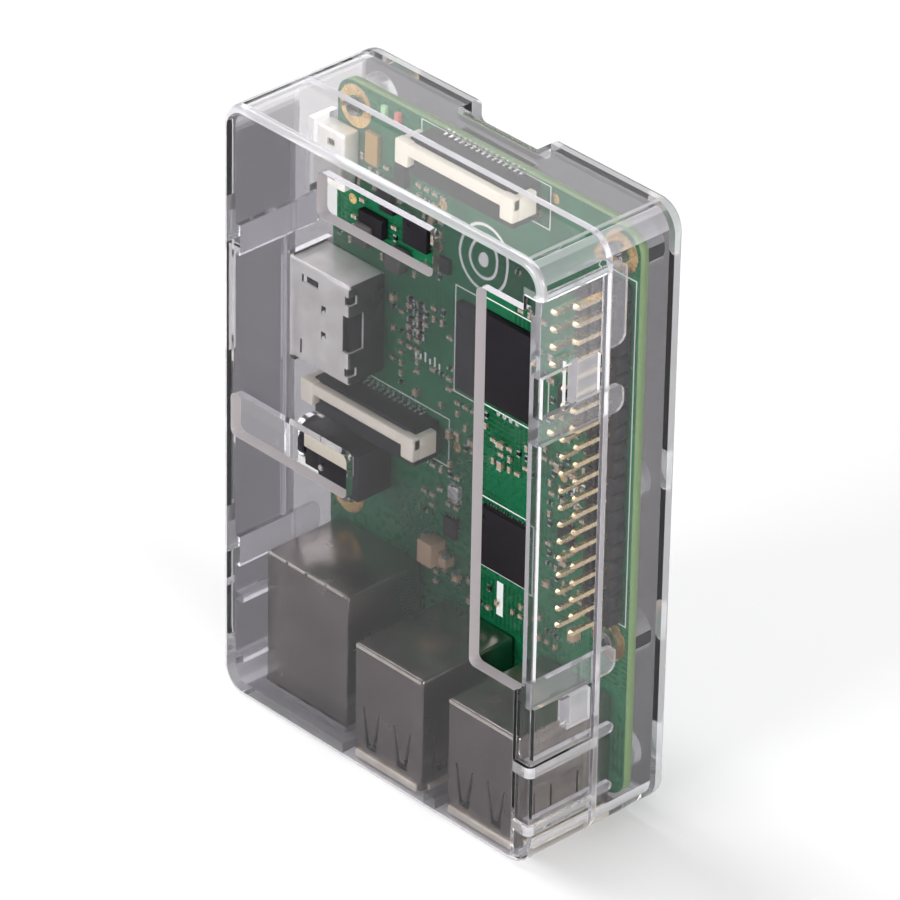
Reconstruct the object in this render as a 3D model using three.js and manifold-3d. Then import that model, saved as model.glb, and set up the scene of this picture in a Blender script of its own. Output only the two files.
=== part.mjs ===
// A credit-card sized single board computer snapped into a clear two-part case, standing on its socket end.
//
// Board frame, in millimetres: X runs across the board from the edge with the power and video sockets to the
// edge with the pin header, Z runs up from the socket end to the memory card end, and Y = 0 is the face that
// carries the parts, which look towards -Y. The last lines move that frame so that the case stands on Z = 0.
import * as THREE from 'three';
import { mergeVertices } from 'three/addons/utils/BufferGeometryUtils.js';
import Module from 'manifold-3d';

const wasm = await Module();
wasm.setup();

// Driving dimensions
const BOARD_WIDTH = 56;
const BOARD_LENGTH = 85;
const BOARD_THICKNESS = 1.4;
const BOARD_CORNER = 3;
const HOLE_INSET = 3.5;
const HOLE_SPACING = 58;
const HOLE_RADIUS = 1.375;
const SIDE_GAP = 0.4;
const WALL = 1.5;
const FACE_WALL = 1.8;
const SOCKET_OVERHANG = 2;
const SOCKET_RECESS = 0.4;
const CARD_END_ROOM = 3;
const TALLEST_SOCKET = 16;
const LID_HEADROOM = 0.8;
const UNDER_BOARD = 3.2;
const PARTING_HEIGHT = 6.3;
const PARTING_GAP = 0.1;
const CASE_CORNER = 4;
const CASE_EDGE = 1;
const FIT_GAP = 0.1;
const SEAT_GAP = 0.05;
const PIN_PITCH = 2.54;
const PINS_PER_ROW = 20;
const PIN_WIDTH = 0.64;
const PIN_TOP = 8.5;
const PIN_TAIL = 1.5;
const HEADER_FROM_END = 32.5;
const HEADER_HEIGHT = 2.54;

// The case's outer box, worked out from the board inside it
const caseLow = {
  x: -(SIDE_GAP + WALL),
  y: -(TALLEST_SOCKET + LID_HEADROOM + FACE_WALL),
  z: -(SOCKET_OVERHANG + SOCKET_RECESS),
};
const caseHigh = {
  x: BOARD_WIDTH + SIDE_GAP + WALL,
  y: BOARD_THICKNESS + UNDER_BOARD + FACE_WALL,
  z: BOARD_LENGTH + CARD_END_ROOM,
};
const lidInside = caseLow.y + FACE_WALL;
const floorInside = caseHigh.y - FACE_WALL;

// Materials
const clearPlastic = { color: 0xd9d8dc, roughness: 0.12, metalness: 0, transparent: true, opacity: 0.35 };
const boardGreen = { color: 0x1f5a3c, roughness: 0.4, metalness: 0 };
const chipBlack = { color: 0x252329, roughness: 0.5, metalness: 0 };
const socketBlack = { color: 0x1b1a1c, roughness: 0.45, metalness: 0 };
const socketWhite = { color: 0xe4e0d6, roughness: 0.5, metalness: 0 };
const latchCream = { color: 0xc9c1b0, roughness: 0.5, metalness: 0 };
const nickel = { color: 0xb9b1a6, roughness: 0.28, metalness: 1 };
const gold = { color: 0xd8b070, roughness: 0.3, metalness: 1 };
const tin = { color: 0xc8c8c6, roughness: 0.35, metalness: 1 };
const ferrite = { color: 0x3a3836, roughness: 0.7, metalness: 0 };
const ledGreen = { color: 0x9fd49a, roughness: 0.3, metalness: 0 };
const ledAmber = { color: 0xe2b45c, roughness: 0.3, metalness: 0 };
const ledRed = { color: 0xd06a5c, roughness: 0.3, metalness: 0 };
const fuseYellow = { color: 0xb08c3e, roughness: 0.5, metalness: 0 };

// Solids

function solid(geometry) {
  const bare = geometry.index ? geometry.toNonIndexed() : geometry.clone();
  bare.deleteAttribute('normal');
  bare.deleteAttribute('uv');
  const merged = mergeVertices(bare, 1e-5);
  const mesh = new wasm.Mesh({
    numProp: 3,
    vertProperties: new Float32Array(merged.attributes.position.array),
    triVerts: new Uint32Array(merged.index.array),
  });
  return new wasm.Manifold(mesh);
}

function block(low, high) {
  const geometry = new THREE.BoxGeometry(high[0] - low[0], high[1] - low[1], high[2] - low[2]);
  geometry.translate((low[0] + high[0]) / 2, (low[1] + high[1]) / 2, (low[2] + high[2]) / 2);
  return solid(geometry);
}

function rounded(low, high, radius) {
  const shape = new THREE.Shape();
  shape.moveTo(low[0] + radius, low[1]);
  shape.lineTo(high[0] - radius, low[1]);
  shape.absarc(high[0] - radius, low[1] + radius, radius, -Math.PI / 2, 0, false);
  shape.lineTo(high[0], high[1] - radius);
  shape.absarc(high[0] - radius, high[1] - radius, radius, 0, Math.PI / 2, false);
  shape.lineTo(low[0] + radius, high[1]);
  shape.absarc(low[0] + radius, high[1] - radius, radius, Math.PI / 2, Math.PI, false);
  shape.lineTo(low[0], low[1] + radius);
  shape.absarc(low[0] + radius, low[1] + radius, radius, Math.PI, 1.5 * Math.PI, false);
  return shape;
}

function polygon(points) {
  return new THREE.Shape(points.map(([x, y]) => new THREE.Vector2(x, y)));
}

// A shape drawn in X and Z, pushed along Y from low to high
function pushY(shape, low, high, steps = 5) {
  const geometry = new THREE.ExtrudeGeometry(shape, {
    depth: high - low,
    bevelEnabled: false,
    curveSegments: steps,
  });
  geometry.rotateX(Math.PI / 2);
  geometry.translate(0, high, 0);
  return solid(geometry);
}

// A shape drawn in Y and Z, pushed along X from low to high
function pushX(shape, low, high, steps = 5) {
  const geometry = new THREE.ExtrudeGeometry(shape, {
    depth: high - low,
    bevelEnabled: false,
    curveSegments: steps,
  });
  const turn = new THREE.Matrix4().makeBasis(
    new THREE.Vector3(0, 1, 0),
    new THREE.Vector3(0, 0, 1),
    new THREE.Vector3(1, 0, 0),
  );
  geometry.applyMatrix4(turn);
  geometry.translate(low, 0, 0);
  return solid(geometry);
}

function roundY(radius, x, z, low, high, sides = 16) {
  const geometry = new THREE.CylinderGeometry(radius, radius, high - low, sides);
  geometry.translate(x, (low + high) / 2, z);
  return solid(geometry);
}

function roundX(radius, y, z, low, high, sides = 20) {
  const geometry = new THREE.CylinderGeometry(radius, radius, high - low, sides);
  geometry.rotateZ(Math.PI / 2);
  geometry.translate((low + high) / 2, y, z);
  return solid(geometry);
}

function join(first, ...others) {
  return others.reduce((sum, next) => sum.add(next), first);
}

function cut(first, ...others) {
  return others.reduce((rest, next) => rest.subtract(next), first);
}

function piece(name, shape, finish, position = [0, 0, 0]) {
  const { vertProperties, triVerts } = shape.getMesh();
  const geometry = new THREE.BufferGeometry();
  geometry.setAttribute('position', new THREE.BufferAttribute(new Float32Array(vertProperties), 3));
  geometry.setIndex(new THREE.BufferAttribute(new Uint32Array(triVerts), 1));
  geometry.computeVertexNormals();
  const mesh = new THREE.Mesh(geometry, new THREE.MeshStandardMaterial(finish));
  mesh.name = name;
  mesh.position.set(...position);
  return mesh;
}

// A place on the board: across from the power edge, and along from the memory card end
function onBoard(across, fromCardEnd) {
  return [across, -SEAT_GAP, BOARD_LENGTH - fromCardEnd];
}

// The openings that the case and the sockets share, in the board frame
const displaySlot = { low: [16.5, 78.2], high: [38.2, 84.8] };
const cameraSlot = { low: [-0.1, 38.2], high: [22.5, 44.8] };
const headerSlot = { low: [46.2, 24.4], high: [55.5, 80.8] };
const SLOT_CORNER = 1;

const usbCentres = [29, 47];
const USB_WIDTH = 13.1;
const USB_FLANGE = 15;
const USB_LENGTH = 17.5;
const networkCentre = 10.25;
const NETWORK_WIDTH = 16;
const NETWORK_HEIGHT = 13.5;
const NETWORK_LENGTH = 21.3;
const videoFromEnd = 32;
const powerFromEnd = 10.6;
const audioFromEnd = 53.5;

// Case

function caseOutside() {
  const flat = rounded(
    [caseLow.x + CASE_EDGE, caseLow.z + CASE_EDGE],
    [caseHigh.x - CASE_EDGE, caseHigh.z - CASE_EDGE],
    CASE_CORNER - CASE_EDGE,
  );
  const geometry = new THREE.ExtrudeGeometry(flat, {
    depth: caseHigh.y - caseLow.y - 2 * CASE_EDGE,
    bevelEnabled: true,
    bevelSize: CASE_EDGE,
    bevelThickness: CASE_EDGE,
    bevelSegments: 3,
    curveSegments: 6,
  });
  geometry.rotateX(Math.PI / 2);
  geometry.translate(0, caseHigh.y - CASE_EDGE, 0);
  return solid(geometry);
}

function caseInside(low, high) {
  const space = rounded(
    [caseLow.x + WALL, caseLow.z + WALL],
    [caseHigh.x - WALL, caseHigh.z - WALL],
    CASE_CORNER - WALL,
  );
  return pushY(space, low, high, 6);
}

function caseSlice(low, high) {
  return block([caseLow.x - 1, low, caseLow.z - 1], [caseHigh.x + 1, high, caseHigh.z + 1]);
}

function slotOpening({ low, high }) {
  return pushY(rounded(low, high, SLOT_CORNER), caseLow.y - 1, lidInside + 1, 3);
}

// Doors in the end wall for the network and USB sockets, from the tallest point down to the board
function socketDoors(low, high) {
  const rise = Math.max(low, -NETWORK_HEIGHT - 0.4);
  const network = block(
    [networkCentre - NETWORK_WIDTH / 2 - 0.4, rise, caseLow.z - 1],
    [networkCentre + NETWORK_WIDTH / 2 + 0.4, high, 0.2],
  );
  const usb = usbCentres.map((centre) =>
    block([centre - USB_FLANGE / 2 - 0.4, low, caseLow.z - 1], [centre + USB_FLANGE / 2 + 0.4, high, 0.2]),
  );
  return join(network, ...usb);
}

function sideDoor(fromCardEnd, halfWidth, low, high) {
  const z = BOARD_LENGTH - fromCardEnd;
  return block([caseLow.x - 1, low, z - halfWidth], [1, high, z + halfWidth]);
}

// A snap arm on the inside of a long wall of the lid; its free end reaches past the parting line
function snapArm(side, low, high) {
  const reach = -2.4;
  const root = side > 0 ? caseHigh.x - WALL : caseLow.x + WALL;
  const thin = side > 0 ? [root - 0.9, root - 0.2] : [root + 0.2, root + 0.9];
  const thick = side > 0 ? [root - 0.9, root + 0.1] : [root - 0.1, root + 0.9];
  const tip = Math.min(1.4, (high - low) / 2 - 0.05);
  const arm = pushX(rounded([lidInside + 1, low], [reach, high], tip), thin[0], thin[1], 4);
  const fixed = block([thick[0], lidInside - 0.1, low], [thick[1], -PARTING_HEIGHT - 0.4, high]);
  return join(arm, fixed);
}

// The header side's front corner is set back between raised lips
const LIP_LEVELS = [-1.2, 3, 4.4, 12, 13.6, 83];
const CORNER_SETBACK = 0.6;
const LIP_RUN = 3.2;

function cornerSetbacks() {
  const cuts = [];
  for (let i = 0; i < LIP_LEVELS.length; i += 2) {
    const low = LIP_LEVELS[i];
    const high = LIP_LEVELS[i + 1];
    cuts.push(
      block(
        [caseHigh.x - LIP_RUN, caseLow.y - 1, low],
        [caseHigh.x + 1, caseLow.y + CORNER_SETBACK, high],
      ),
      block(
        [caseHigh.x - CORNER_SETBACK, caseLow.y - 1, low],
        [caseHigh.x + 1, -PARTING_HEIGHT - 0.8, high],
      ),
    );
  }
  return join(...cuts);
}

function lidRib(z) {
  return block(
    [caseLow.x + WALL - 0.1, lidInside - 0.1, z - 0.6],
    [caseLow.x + WALL + 1.6, lidInside + 6.5, z + 0.6],
  );
}

// A long stiffening ridge on the inside of the socket wall, above the socket openings
function wallRidge(y, low, high) {
  return block([caseLow.x + WALL - 0.1, y - 0.3, low], [caseLow.x + WALL + 0.5, y + 0.3, high]);
}

// A ledge inside the header wall, from its hook window to the parting line
function hookLedge(low, high) {
  return block([caseHigh.x - WALL - 0.8, low[0], low[1]], [caseHigh.x - WALL + 0.1, high[0], high[1]]);
}

// Slots in the header side that let the moulding core form the hooks
function hookWindow(low, high) {
  return block([caseHigh.x - WALL - 0.1, low[0], low[1]], [caseHigh.x + 1, high[0], high[1]]);
}

function caseLid() {
  const low = caseLow.y;
  const high = -PARTING_HEIGHT - PARTING_GAP;
  const shell = cut(
    caseOutside().intersect(caseSlice(low - 1, high)),
    caseInside(lidInside, high + 1),
    cornerSetbacks(),
  );
  const withFeatures = join(
    shell,
    snapArm(1, 61, 65),
    snapArm(1, 21.5, 25.5),
    snapArm(1, 70.9, 82.8),
    snapArm(1, 12, 13.6),
    snapArm(1, 3, 4.4),
    snapArm(-1, 65, 69.5),
    snapArm(-1, 17.2, 21.8),
    lidRib(12.4),
    lidRib(2.8),
    wallRidge(-8.5, 18, 69),
    hookLedge([-11.4, 65.2], [-6.8, 71]),
    hookLedge([-11, 16], [-6.8, 20.8]),
  );
  return cut(
    withFeatures,
    slotOpening(displaySlot),
    slotOpening(cameraSlot),
    slotOpening(headerSlot),
    socketDoors(lidInside, high + 1),
    sideDoor(videoFromEnd, 8.2, -7.2, high + 1),
    hookWindow([-13.4, 65.4], [-11.4, 72.4]),
    hookWindow([-12.6, 17.4], [-11, 21.4]),
  );
}

function boardPost(x, z) {
  const bossTop = BOARD_THICKNESS + SEAT_GAP;
  return join(
    roundY(3.2, x, z, bossTop, floorInside + 0.1, 20),
    roundY(1.2, x, z, -0.8, bossTop + 0.1, 12),
  );
}

function floorPad(x, z) {
  return roundY(3, x, z, floorInside - 1.2, floorInside + 0.1, 20);
}

// The bite in the card end that lets a finger reach the memory card
function cardNotch() {
  const outline = rounded([20.5, BOARD_LENGTH - 0.3], [35.2, caseHigh.z + 4], 1);
  return pushY(outline, BOARD_THICKNESS + 0.8, caseHigh.y + 1, 3);
}

function caseBase() {
  const low = -PARTING_HEIGHT;
  const shell = cut(
    caseOutside().intersect(caseSlice(low, caseHigh.y + 1)),
    caseInside(low - 1, floorInside),
  );
  const near = HOLE_INSET;
  const far = BOARD_WIDTH - HOLE_INSET;
  const top = BOARD_LENGTH - HOLE_INSET;
  const bottom = top - HOLE_SPACING;
  const withPosts = join(
    shell,
    boardPost(near, top),
    boardPost(far, top),
    boardPost(near, bottom),
    boardPost(far, bottom),
    floorPad(4.4, 4.6),
    floorPad(51.6, 4.6),
    floorPad(4.4, 46.4),
    floorPad(51.6, 46.4),
  );
  return cut(
    withPosts,
    cardNotch(),
    socketDoors(low - 1, 0.3),
    sideDoor(powerFromEnd, 5, -3.8, 0.3),
    sideDoor(videoFromEnd, 8.2, low - 1, 0.3),
    roundX(3.4, -3.1, BOARD_LENGTH - audioFromEnd, caseLow.x - 1, 1),
  );
}

// Board and the parts soldered to it

function pinPlaces(row) {
  const across = BOARD_WIDTH - HOLE_INSET + (row - 0.5) * PIN_PITCH;
  const first = BOARD_LENGTH - HEADER_FROM_END - ((PINS_PER_ROW - 1) / 2) * PIN_PITCH;
  return Array.from({ length: PINS_PER_ROW }, (_, i) => [across, first + i * PIN_PITCH]);
}

function circuitBoard() {
  const sheet = pushY(rounded([0, 0], [BOARD_WIDTH, BOARD_LENGTH], BOARD_CORNER), 0, BOARD_THICKNESS, 5);
  const near = HOLE_INSET;
  const far = BOARD_WIDTH - HOLE_INSET;
  const top = BOARD_LENGTH - HOLE_INSET;
  const holes = [near, far].flatMap((x) =>
    [top, top - HOLE_SPACING].map((z) => roundY(HOLE_RADIUS, x, z, -1, BOARD_THICKNESS + 1, 16)),
  );
  const pinHoles = [0, 1].flatMap((row) =>
    pinPlaces(row).map(([x, z]) => roundY(0.62, x, z, -1, BOARD_THICKNESS + 1, 6)),
  );
  return cut(sheet, ...holes, ...pinHoles);
}

function headerBlock() {
  const x = BOARD_WIDTH - HOLE_INSET;
  const z = BOARD_LENGTH - HEADER_FROM_END;
  const half = (PINS_PER_ROW * PIN_PITCH) / 2;
  const body = block([x - PIN_PITCH, -HEADER_HEIGHT, z - half], [x + PIN_PITCH, -SEAT_GAP, z + half]);
  const reach = PIN_WIDTH / 2 + FIT_GAP;
  const holes = [0, 1].flatMap((row) =>
    pinPlaces(row).map(([px, pz]) =>
      block([px - reach, -HEADER_HEIGHT - 1, pz - reach], [px + reach, 1, pz + reach]),
    ),
  );
  const channels = [0, 1].map((row) => {
    const px = pinPlaces(row)[0][0];
    return block([px - reach, -0.8, z - half + 0.6], [px + reach, 1, z + half - 0.6]);
  });
  return cut(body, ...holes, ...channels);
}

function pinPost([x, z]) {
  const half = PIN_WIDTH / 2;
  const geometry = new THREE.CylinderGeometry(half * Math.SQRT2, half * Math.SQRT2, 1, 4);
  geometry.rotateY(Math.PI / 4);
  geometry.scale(1, PIN_TOP + BOARD_THICKNESS + PIN_TAIL - 0.5, 1);
  geometry.translate(x, (BOARD_THICKNESS + PIN_TAIL - PIN_TOP + 0.5) / 2, z);
  const tip = new THREE.CylinderGeometry(half * Math.SQRT2, half * 0.6 * Math.SQRT2, 0.5, 4);
  tip.rotateY(Math.PI / 4);
  tip.translate(x, -PIN_TOP + 0.25, z);
  return solid(geometry).add(solid(tip));
}

// The pins of one row, with the thin moulding rail that spaces them inside the header block
function pinRow(row) {
  const places = pinPlaces(row);
  const half = PIN_WIDTH / 2;
  const rail = block(
    [places[0][0] - half + 0.02, -0.6, places[0][1]],
    [places[0][0] + half - 0.02, -0.25, places[PINS_PER_ROW - 1][1]],
  );
  return join(rail, ...places.map(pinPost));
}

// Spring windows pressed into the top of a USB shell, two beside each other
function springWindow(x) {
  const outline = polygon([
    [x - 2.1, -0.3],
    [x - 1.5, -0.3],
    [x - 0.7, 0.9],
    [x + 0.7, 0.9],
    [x + 1.5, -0.3],
    [x + 2.1, -0.3],
    [x + 2.1, 5.4],
    [x + 1.5, 5.4],
    [x + 1.3, 1.6],
    [x - 1.3, 1.6],
    [x - 1.5, 5.4],
    [x - 2.1, 5.4],
  ]);
  return pushY(outline, -TALLEST_SOCKET - 1, -TALLEST_SOCKET + 1);
}

function usbShell() {
  const front = -SOCKET_OVERHANG;
  const back = front + USB_LENGTH;
  const skin = 0.35;
  const half = USB_WIDTH / 2;
  const body = block([-half, -TALLEST_SOCKET, front], [half, 0, back]);
  const flange = block([-USB_FLANGE / 2, -TALLEST_SOCKET - 0.4, front], [USB_FLANGE / 2, 0, front + 0.5]);
  const inside = block([-half + skin, -TALLEST_SOCKET + skin, front - 1], [half - skin, -skin, back - skin]);
  return cut(join(body, flange), inside, springWindow(-3), springWindow(3));
}

// The moulding inside a USB stack: a back block, a divider between the ports and a tongue in each port
function usbMoulding() {
  const front = -SOCKET_OVERHANG;
  const half = USB_WIDTH / 2 - 0.35 - FIT_GAP;
  const back = front + USB_LENGTH - 0.35 - FIT_GAP;
  const low = -TALLEST_SOCKET + 0.35 + FIT_GAP;
  const core = block([-half, low, 7.5], [half, -0.35 - FIT_GAP, back]);
  const divider = block([-half, -9, front + 0.6], [half, -7.4, 8]);
  const tongues = [4.6, 12.4].map((height) =>
    block([-5.5, -height - 0.9, front + 1], [5.5, -height + 0.9, 8]),
  );
  return join(core, divider, ...tongues);
}

function networkShell() {
  const front = -SOCKET_OVERHANG;
  const skin = 0.4;
  const half = NETWORK_WIDTH / 2;
  const body = block([-half, -NETWORK_HEIGHT, front], [half, 0, front + NETWORK_LENGTH]);
  const inside = block(
    [-half + skin, -NETWORK_HEIGHT + skin, front - 1],
    [half - skin, -skin, front + NETWORK_LENGTH - skin],
  );
  return cut(body, inside);
}

const LAMP_WIDTH = 2.4;
const LAMP_HEIGHT = 1.8;

function lampPocket(side, room) {
  const x = side * 6;
  const half = LAMP_WIDTH / 2 + room;
  return block([x - half, -0.9 - LAMP_HEIGHT - room, -3], [x + half, -0.9 + room, 2 + room]);
}

// The moulding inside the network socket, open at the front for the plug and its latch
function networkMoulding() {
  const front = -SOCKET_OVERHANG + 0.3;
  const half = NETWORK_WIDTH / 2 - 0.4 - FIT_GAP;
  const body = block(
    [-half, -NETWORK_HEIGHT + 0.5, front],
    [half, -0.5, front + NETWORK_LENGTH - 1],
  );
  const plug = block([-5.9, -12.2, front - 1], [5.9, -4.2, front + 13]);
  const latch = block([-2.2, -4.4, front - 1], [2.2, -2.2, front + 9]);
  return cut(body, plug, latch, lampPocket(-1, FIT_GAP), lampPocket(1, FIT_GAP));
}

function networkLamp(side) {
  const x = side * 6;
  const front = -SOCKET_OVERHANG + 0.2;
  return block([x - LAMP_WIDTH / 2, -0.9 - LAMP_HEIGHT, front], [x + LAMP_WIDTH / 2, -0.9, 2]);
}

// Video socket: wider at the top than at the board, its mouth past the board's edge
const VIDEO_HEIGHT = 6.5;

function videoOutline(inset) {
  return polygon([
    [-inset, -7.5 + inset],
    [-inset, 7.5 - inset],
    [-VIDEO_HEIGHT + inset, 7.5 - inset],
    [-VIDEO_HEIGHT + inset, -7.5 + inset],
  ]);
}

function videoShell() {
  const mouth = -1.4;
  const back = 10.4;
  const body = pushX(videoOutline(0), mouth, back);
  const inside = pushX(videoOutline(0.4), mouth - 1, back - 0.4);
  const latches = [2.6, -2.2].map((z) =>
    block([6.6, -VIDEO_HEIGHT - 1, z - 0.7], [7.6, -VIDEO_HEIGHT + 1, z + 0.7]),
  );
  const tab = block([0.9, -VIDEO_HEIGHT - 1, 4.6], [4.6, -VIDEO_HEIGHT + 1, 6]);
  return cut(body, inside, tab, ...latches);
}

function videoMoulding() {
  const back = block([5.4, -VIDEO_HEIGHT + 0.9, -6.9], [9.8, -0.5, 6.9]);
  const tongue = block([-0.7, -3.9, -5.6], [5.5, -2.9, 5.6]);
  return back.add(tongue);
}

function powerShell() {
  const body = block([-1, -2.8, -3.9], [4.4, 0, 3.9]);
  const inside = block([-2, -2.5, -3.6], [4.1, -0.3, 3.6]);
  return cut(body, inside);
}

function powerMoulding() {
  const back = block([2.2, -2.4, -3.5], [4, -0.4, 3.5]);
  const tongue = block([-0.6, -1.5, -1.8], [2.4, -0.9, 1.8]);
  return back.add(tongue);
}

const AUDIO_HEIGHT = 6;

function audioBody() {
  const body = block([0.2, -AUDIO_HEIGHT, -3.5], [12, 0, 3.5]);
  const barrel = roundX(3, -AUDIO_HEIGHT / 2 - 0.02, 0, -1.6, 0.4, 24);
  const bore = roundX(1.8, -AUDIO_HEIGHT / 2 - 0.02, 0, -2, 11, 20);
  return cut(join(body, barrel), bore);
}

function audioContact() {
  return cut(
    roundX(1.7, -AUDIO_HEIGHT / 2 - 0.02, 0, 6, 10.8, 16),
    roundX(1.45, -AUDIO_HEIGHT / 2 - 0.02, 0, 5.5, 10.4, 16),
  );
}

// Ribbon connectors: a dark body with a pale latch that lifts away from the board
const RIBBON_LENGTH = 22;
const RIBBON_DEPTH = 5.4;
const RIBBON_BODY = 4.4;
const LATCH_END = 2.4;

function ribbonBody() {
  const half = RIBBON_LENGTH / 2 - 1.3;
  const body = block([-half, -RIBBON_BODY, -RIBBON_DEPTH / 2], [half, 0, RIBBON_DEPTH / 2]);
  const mouth = block([-half + 1, -RIBBON_BODY - 1, -0.2], [half - 1, -1, 0.5]);
  return cut(body, mouth);
}

// The latch is a bar with a broad head and a leg at each end of the body
function ribbonLatch() {
  const half = RIBBON_LENGTH / 2;
  const seat = -RIBBON_BODY - 0.1;
  const bar = block([-half, seat - 1.2, 0.7], [half, seat, 2.4]);
  const ends = [-1, 1].flatMap((side) => {
    const outer = side * half;
    const headInner = side * (half - LATCH_END);
    const legInner = side * (half - 1.2);
    return [
      block([Math.min(headInner, outer), seat - 1.4, -0.9], [Math.max(headInner, outer), seat, 2.6]),
      block([Math.min(legInner, outer), seat - 0.1, -0.9], [Math.max(legInner, outer), -1.6, 2.4]),
    ];
  });
  return join(bar, ...ends);
}

function chip(width, length, height) {
  const edge = 0.15;
  const slab = block([-width / 2, -height, -length / 2], [width / 2, 0, length / 2]);
  const marker = roundY(0.4, -width / 2 + 1.2, length / 2 - 1.2, -height - 1, -height + edge, 12);
  return cut(slab, marker);
}

function plainPart(width, length, height) {
  return block([-width / 2, -height, -length / 2], [width / 2, 0, length / 2]);
}

function coil(width, height) {
  const shape = rounded([-width / 2, -width / 2], [width / 2, width / 2], width / 4);
  return pushY(shape, -height, 0, 3);
}

function underside(shape) {
  return shape.rotate([0, 0, 180]);
}

// Memory card socket on the back of the board: a pressed cover over a moulded tray
function cardCover() {
  const cover = block([-6.9, 0, -14.6], [6.9, 1.6, 0]);
  const space = block([-6.6, -1, -14.3], [6.6, 1.35, 1]);
  const window = block([-3.4, 0, -9], [3.4, 3, -5]);
  return cut(cover, space, window);
}

function cardTray() {
  return cut(
    block([-6.5, 0, -14.2], [6.5, 0.5, -0.2]),
    block([-5, -1, -11], [5, 1, -7]),
  );
}

function boardParts() {
  const back = BOARD_THICKNESS + SEAT_GAP;
  const parts = [
    piece('circuit_board', circuitBoard(), boardGreen),
    piece('processor', chip(14, 13, 1.2), chipBlack, onBoard(32, 28.7)),
    piece('usb_network_chip', chip(8.9, 8.9, 1), chipBlack, onBoard(33.8, 56)),
    piece('power_chip', chip(4.6, 4.4, 0.9), chipBlack, onBoard(15.9, 16.4)),
    piece('power_diode', plainPart(2.6, 4.2, 1.1), chipBlack, onBoard(10.6, 13.4)),
    piece('power_coil', coil(3, 1.6), ferrite, onBoard(6.6, 20.2)),
    piece('core_coil', coil(3, 1.6), ferrite, onBoard(13, 21.4)),
    piece('bulk_capacitor', plainPart(2.8, 3.6, 2.8), socketBlack, onBoard(21.4, 61.8)),
    piece('network_crystal', plainPart(2, 2.6, 0.8), tin, onBoard(24.6, 52)),
    piece('input_fuse', plainPart(2.4, 4.4, 0.8), fuseYellow, onBoard(7.4, 8)),
    piece('power_lamp', plainPart(0.9, 1.7, 0.7), ledRed, onBoard(12, 1.8)),
    piece('activity_lamp', plainPart(0.9, 1.7, 0.7), ledGreen, onBoard(9.4, 1.8)),
    piece('header_block', headerBlock(), socketBlack),
    piece('header_pins_inner', pinRow(0), gold),
    piece('header_pins_outer', pinRow(1), gold),
    piece('video_shell', videoShell(), nickel, onBoard(0, videoFromEnd)),
    piece('video_moulding', videoMoulding(), socketBlack, onBoard(0, videoFromEnd)),
    piece('power_shell', powerShell(), nickel, onBoard(0, powerFromEnd)),
    piece('power_moulding', powerMoulding(), socketBlack, onBoard(0, powerFromEnd)),
    piece('audio_body', audioBody(), socketBlack, onBoard(0, audioFromEnd)),
    piece('audio_contact', audioContact(), tin, onBoard(0, audioFromEnd)),
    piece('network_shell', networkShell(), nickel, [networkCentre, -SEAT_GAP, 0]),
    piece('network_moulding', networkMoulding(), socketBlack, [networkCentre, -SEAT_GAP, 0]),
    piece('network_lamp_left', networkLamp(-1), ledGreen, [networkCentre, -SEAT_GAP, 0]),
    piece('network_lamp_right', networkLamp(1), ledAmber, [networkCentre, -SEAT_GAP, 0]),
    piece('camera_connector', ribbonBody(), socketBlack, onBoard(11.3, 45.2)),
    piece('camera_latch', ribbonLatch(), latchCream, onBoard(11.3, 45.2)),
    piece('display_connector', ribbonBody(), socketBlack, onBoard(28.3, 3)),
    piece('display_latch', ribbonLatch(), latchCream, onBoard(28.3, 3)),
    piece('memory_chip', underside(plainPart(11.5, 10, 1)), chipBlack, [30, back, 56]),
    piece('card_cover', cardCover(), nickel, [28, back, BOARD_LENGTH - 0.4]),
    piece('card_tray', cardTray(), socketBlack, [28, back, BOARD_LENGTH - 0.4]),
  ];
  usbCentres.forEach((centre, i) => {
    parts.push(
      piece(`usb_shell_${i + 1}`, usbShell(), nickel, [centre, -SEAT_GAP, 0]),
      piece(`usb_moulding_${i + 1}`, usbMoulding(), socketWhite, [centre, -SEAT_GAP, 0]),
    );
  });
  return parts;
}

const computer = new THREE.Group();
computer.name = 'single_board_computer';
computer.add(piece('case_lid', caseLid(), clearPlastic));
computer.add(piece('case_base', caseBase(), clearPlastic));
computer.add(...boardParts());
computer.position.set(
  -(caseLow.x + caseHigh.x) / 2,
  -(caseLow.y + caseHigh.y) / 2,
  -caseLow.z,
);

const part = new THREE.Group();
part.add(computer);

export default part;
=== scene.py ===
import math
import random

import bmesh
import bpy
from mathutils import Matrix, Vector


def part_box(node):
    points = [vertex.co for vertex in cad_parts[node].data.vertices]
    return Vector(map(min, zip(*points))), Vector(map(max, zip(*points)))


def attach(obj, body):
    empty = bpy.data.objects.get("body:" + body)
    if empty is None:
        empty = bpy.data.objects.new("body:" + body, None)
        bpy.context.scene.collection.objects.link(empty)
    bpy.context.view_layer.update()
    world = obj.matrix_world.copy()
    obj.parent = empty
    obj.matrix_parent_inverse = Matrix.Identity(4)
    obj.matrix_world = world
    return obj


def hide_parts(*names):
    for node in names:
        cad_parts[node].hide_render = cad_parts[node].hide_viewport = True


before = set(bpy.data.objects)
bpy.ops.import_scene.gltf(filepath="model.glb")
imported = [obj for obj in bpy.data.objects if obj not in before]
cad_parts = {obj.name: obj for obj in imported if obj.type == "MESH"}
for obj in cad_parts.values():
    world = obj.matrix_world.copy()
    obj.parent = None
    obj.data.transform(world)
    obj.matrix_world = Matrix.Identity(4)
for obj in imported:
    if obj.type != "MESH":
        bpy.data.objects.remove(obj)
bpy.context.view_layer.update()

MM = 0.001
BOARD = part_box("circuit_board")[0]
BOARD_THICKNESS = 1.4
# Parts start this far above the board's face, so that no two faces lie in one plane
SEAT = 0.06
PIN_PITCH = 2.54
PINS_PER_ROW = 20
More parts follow.
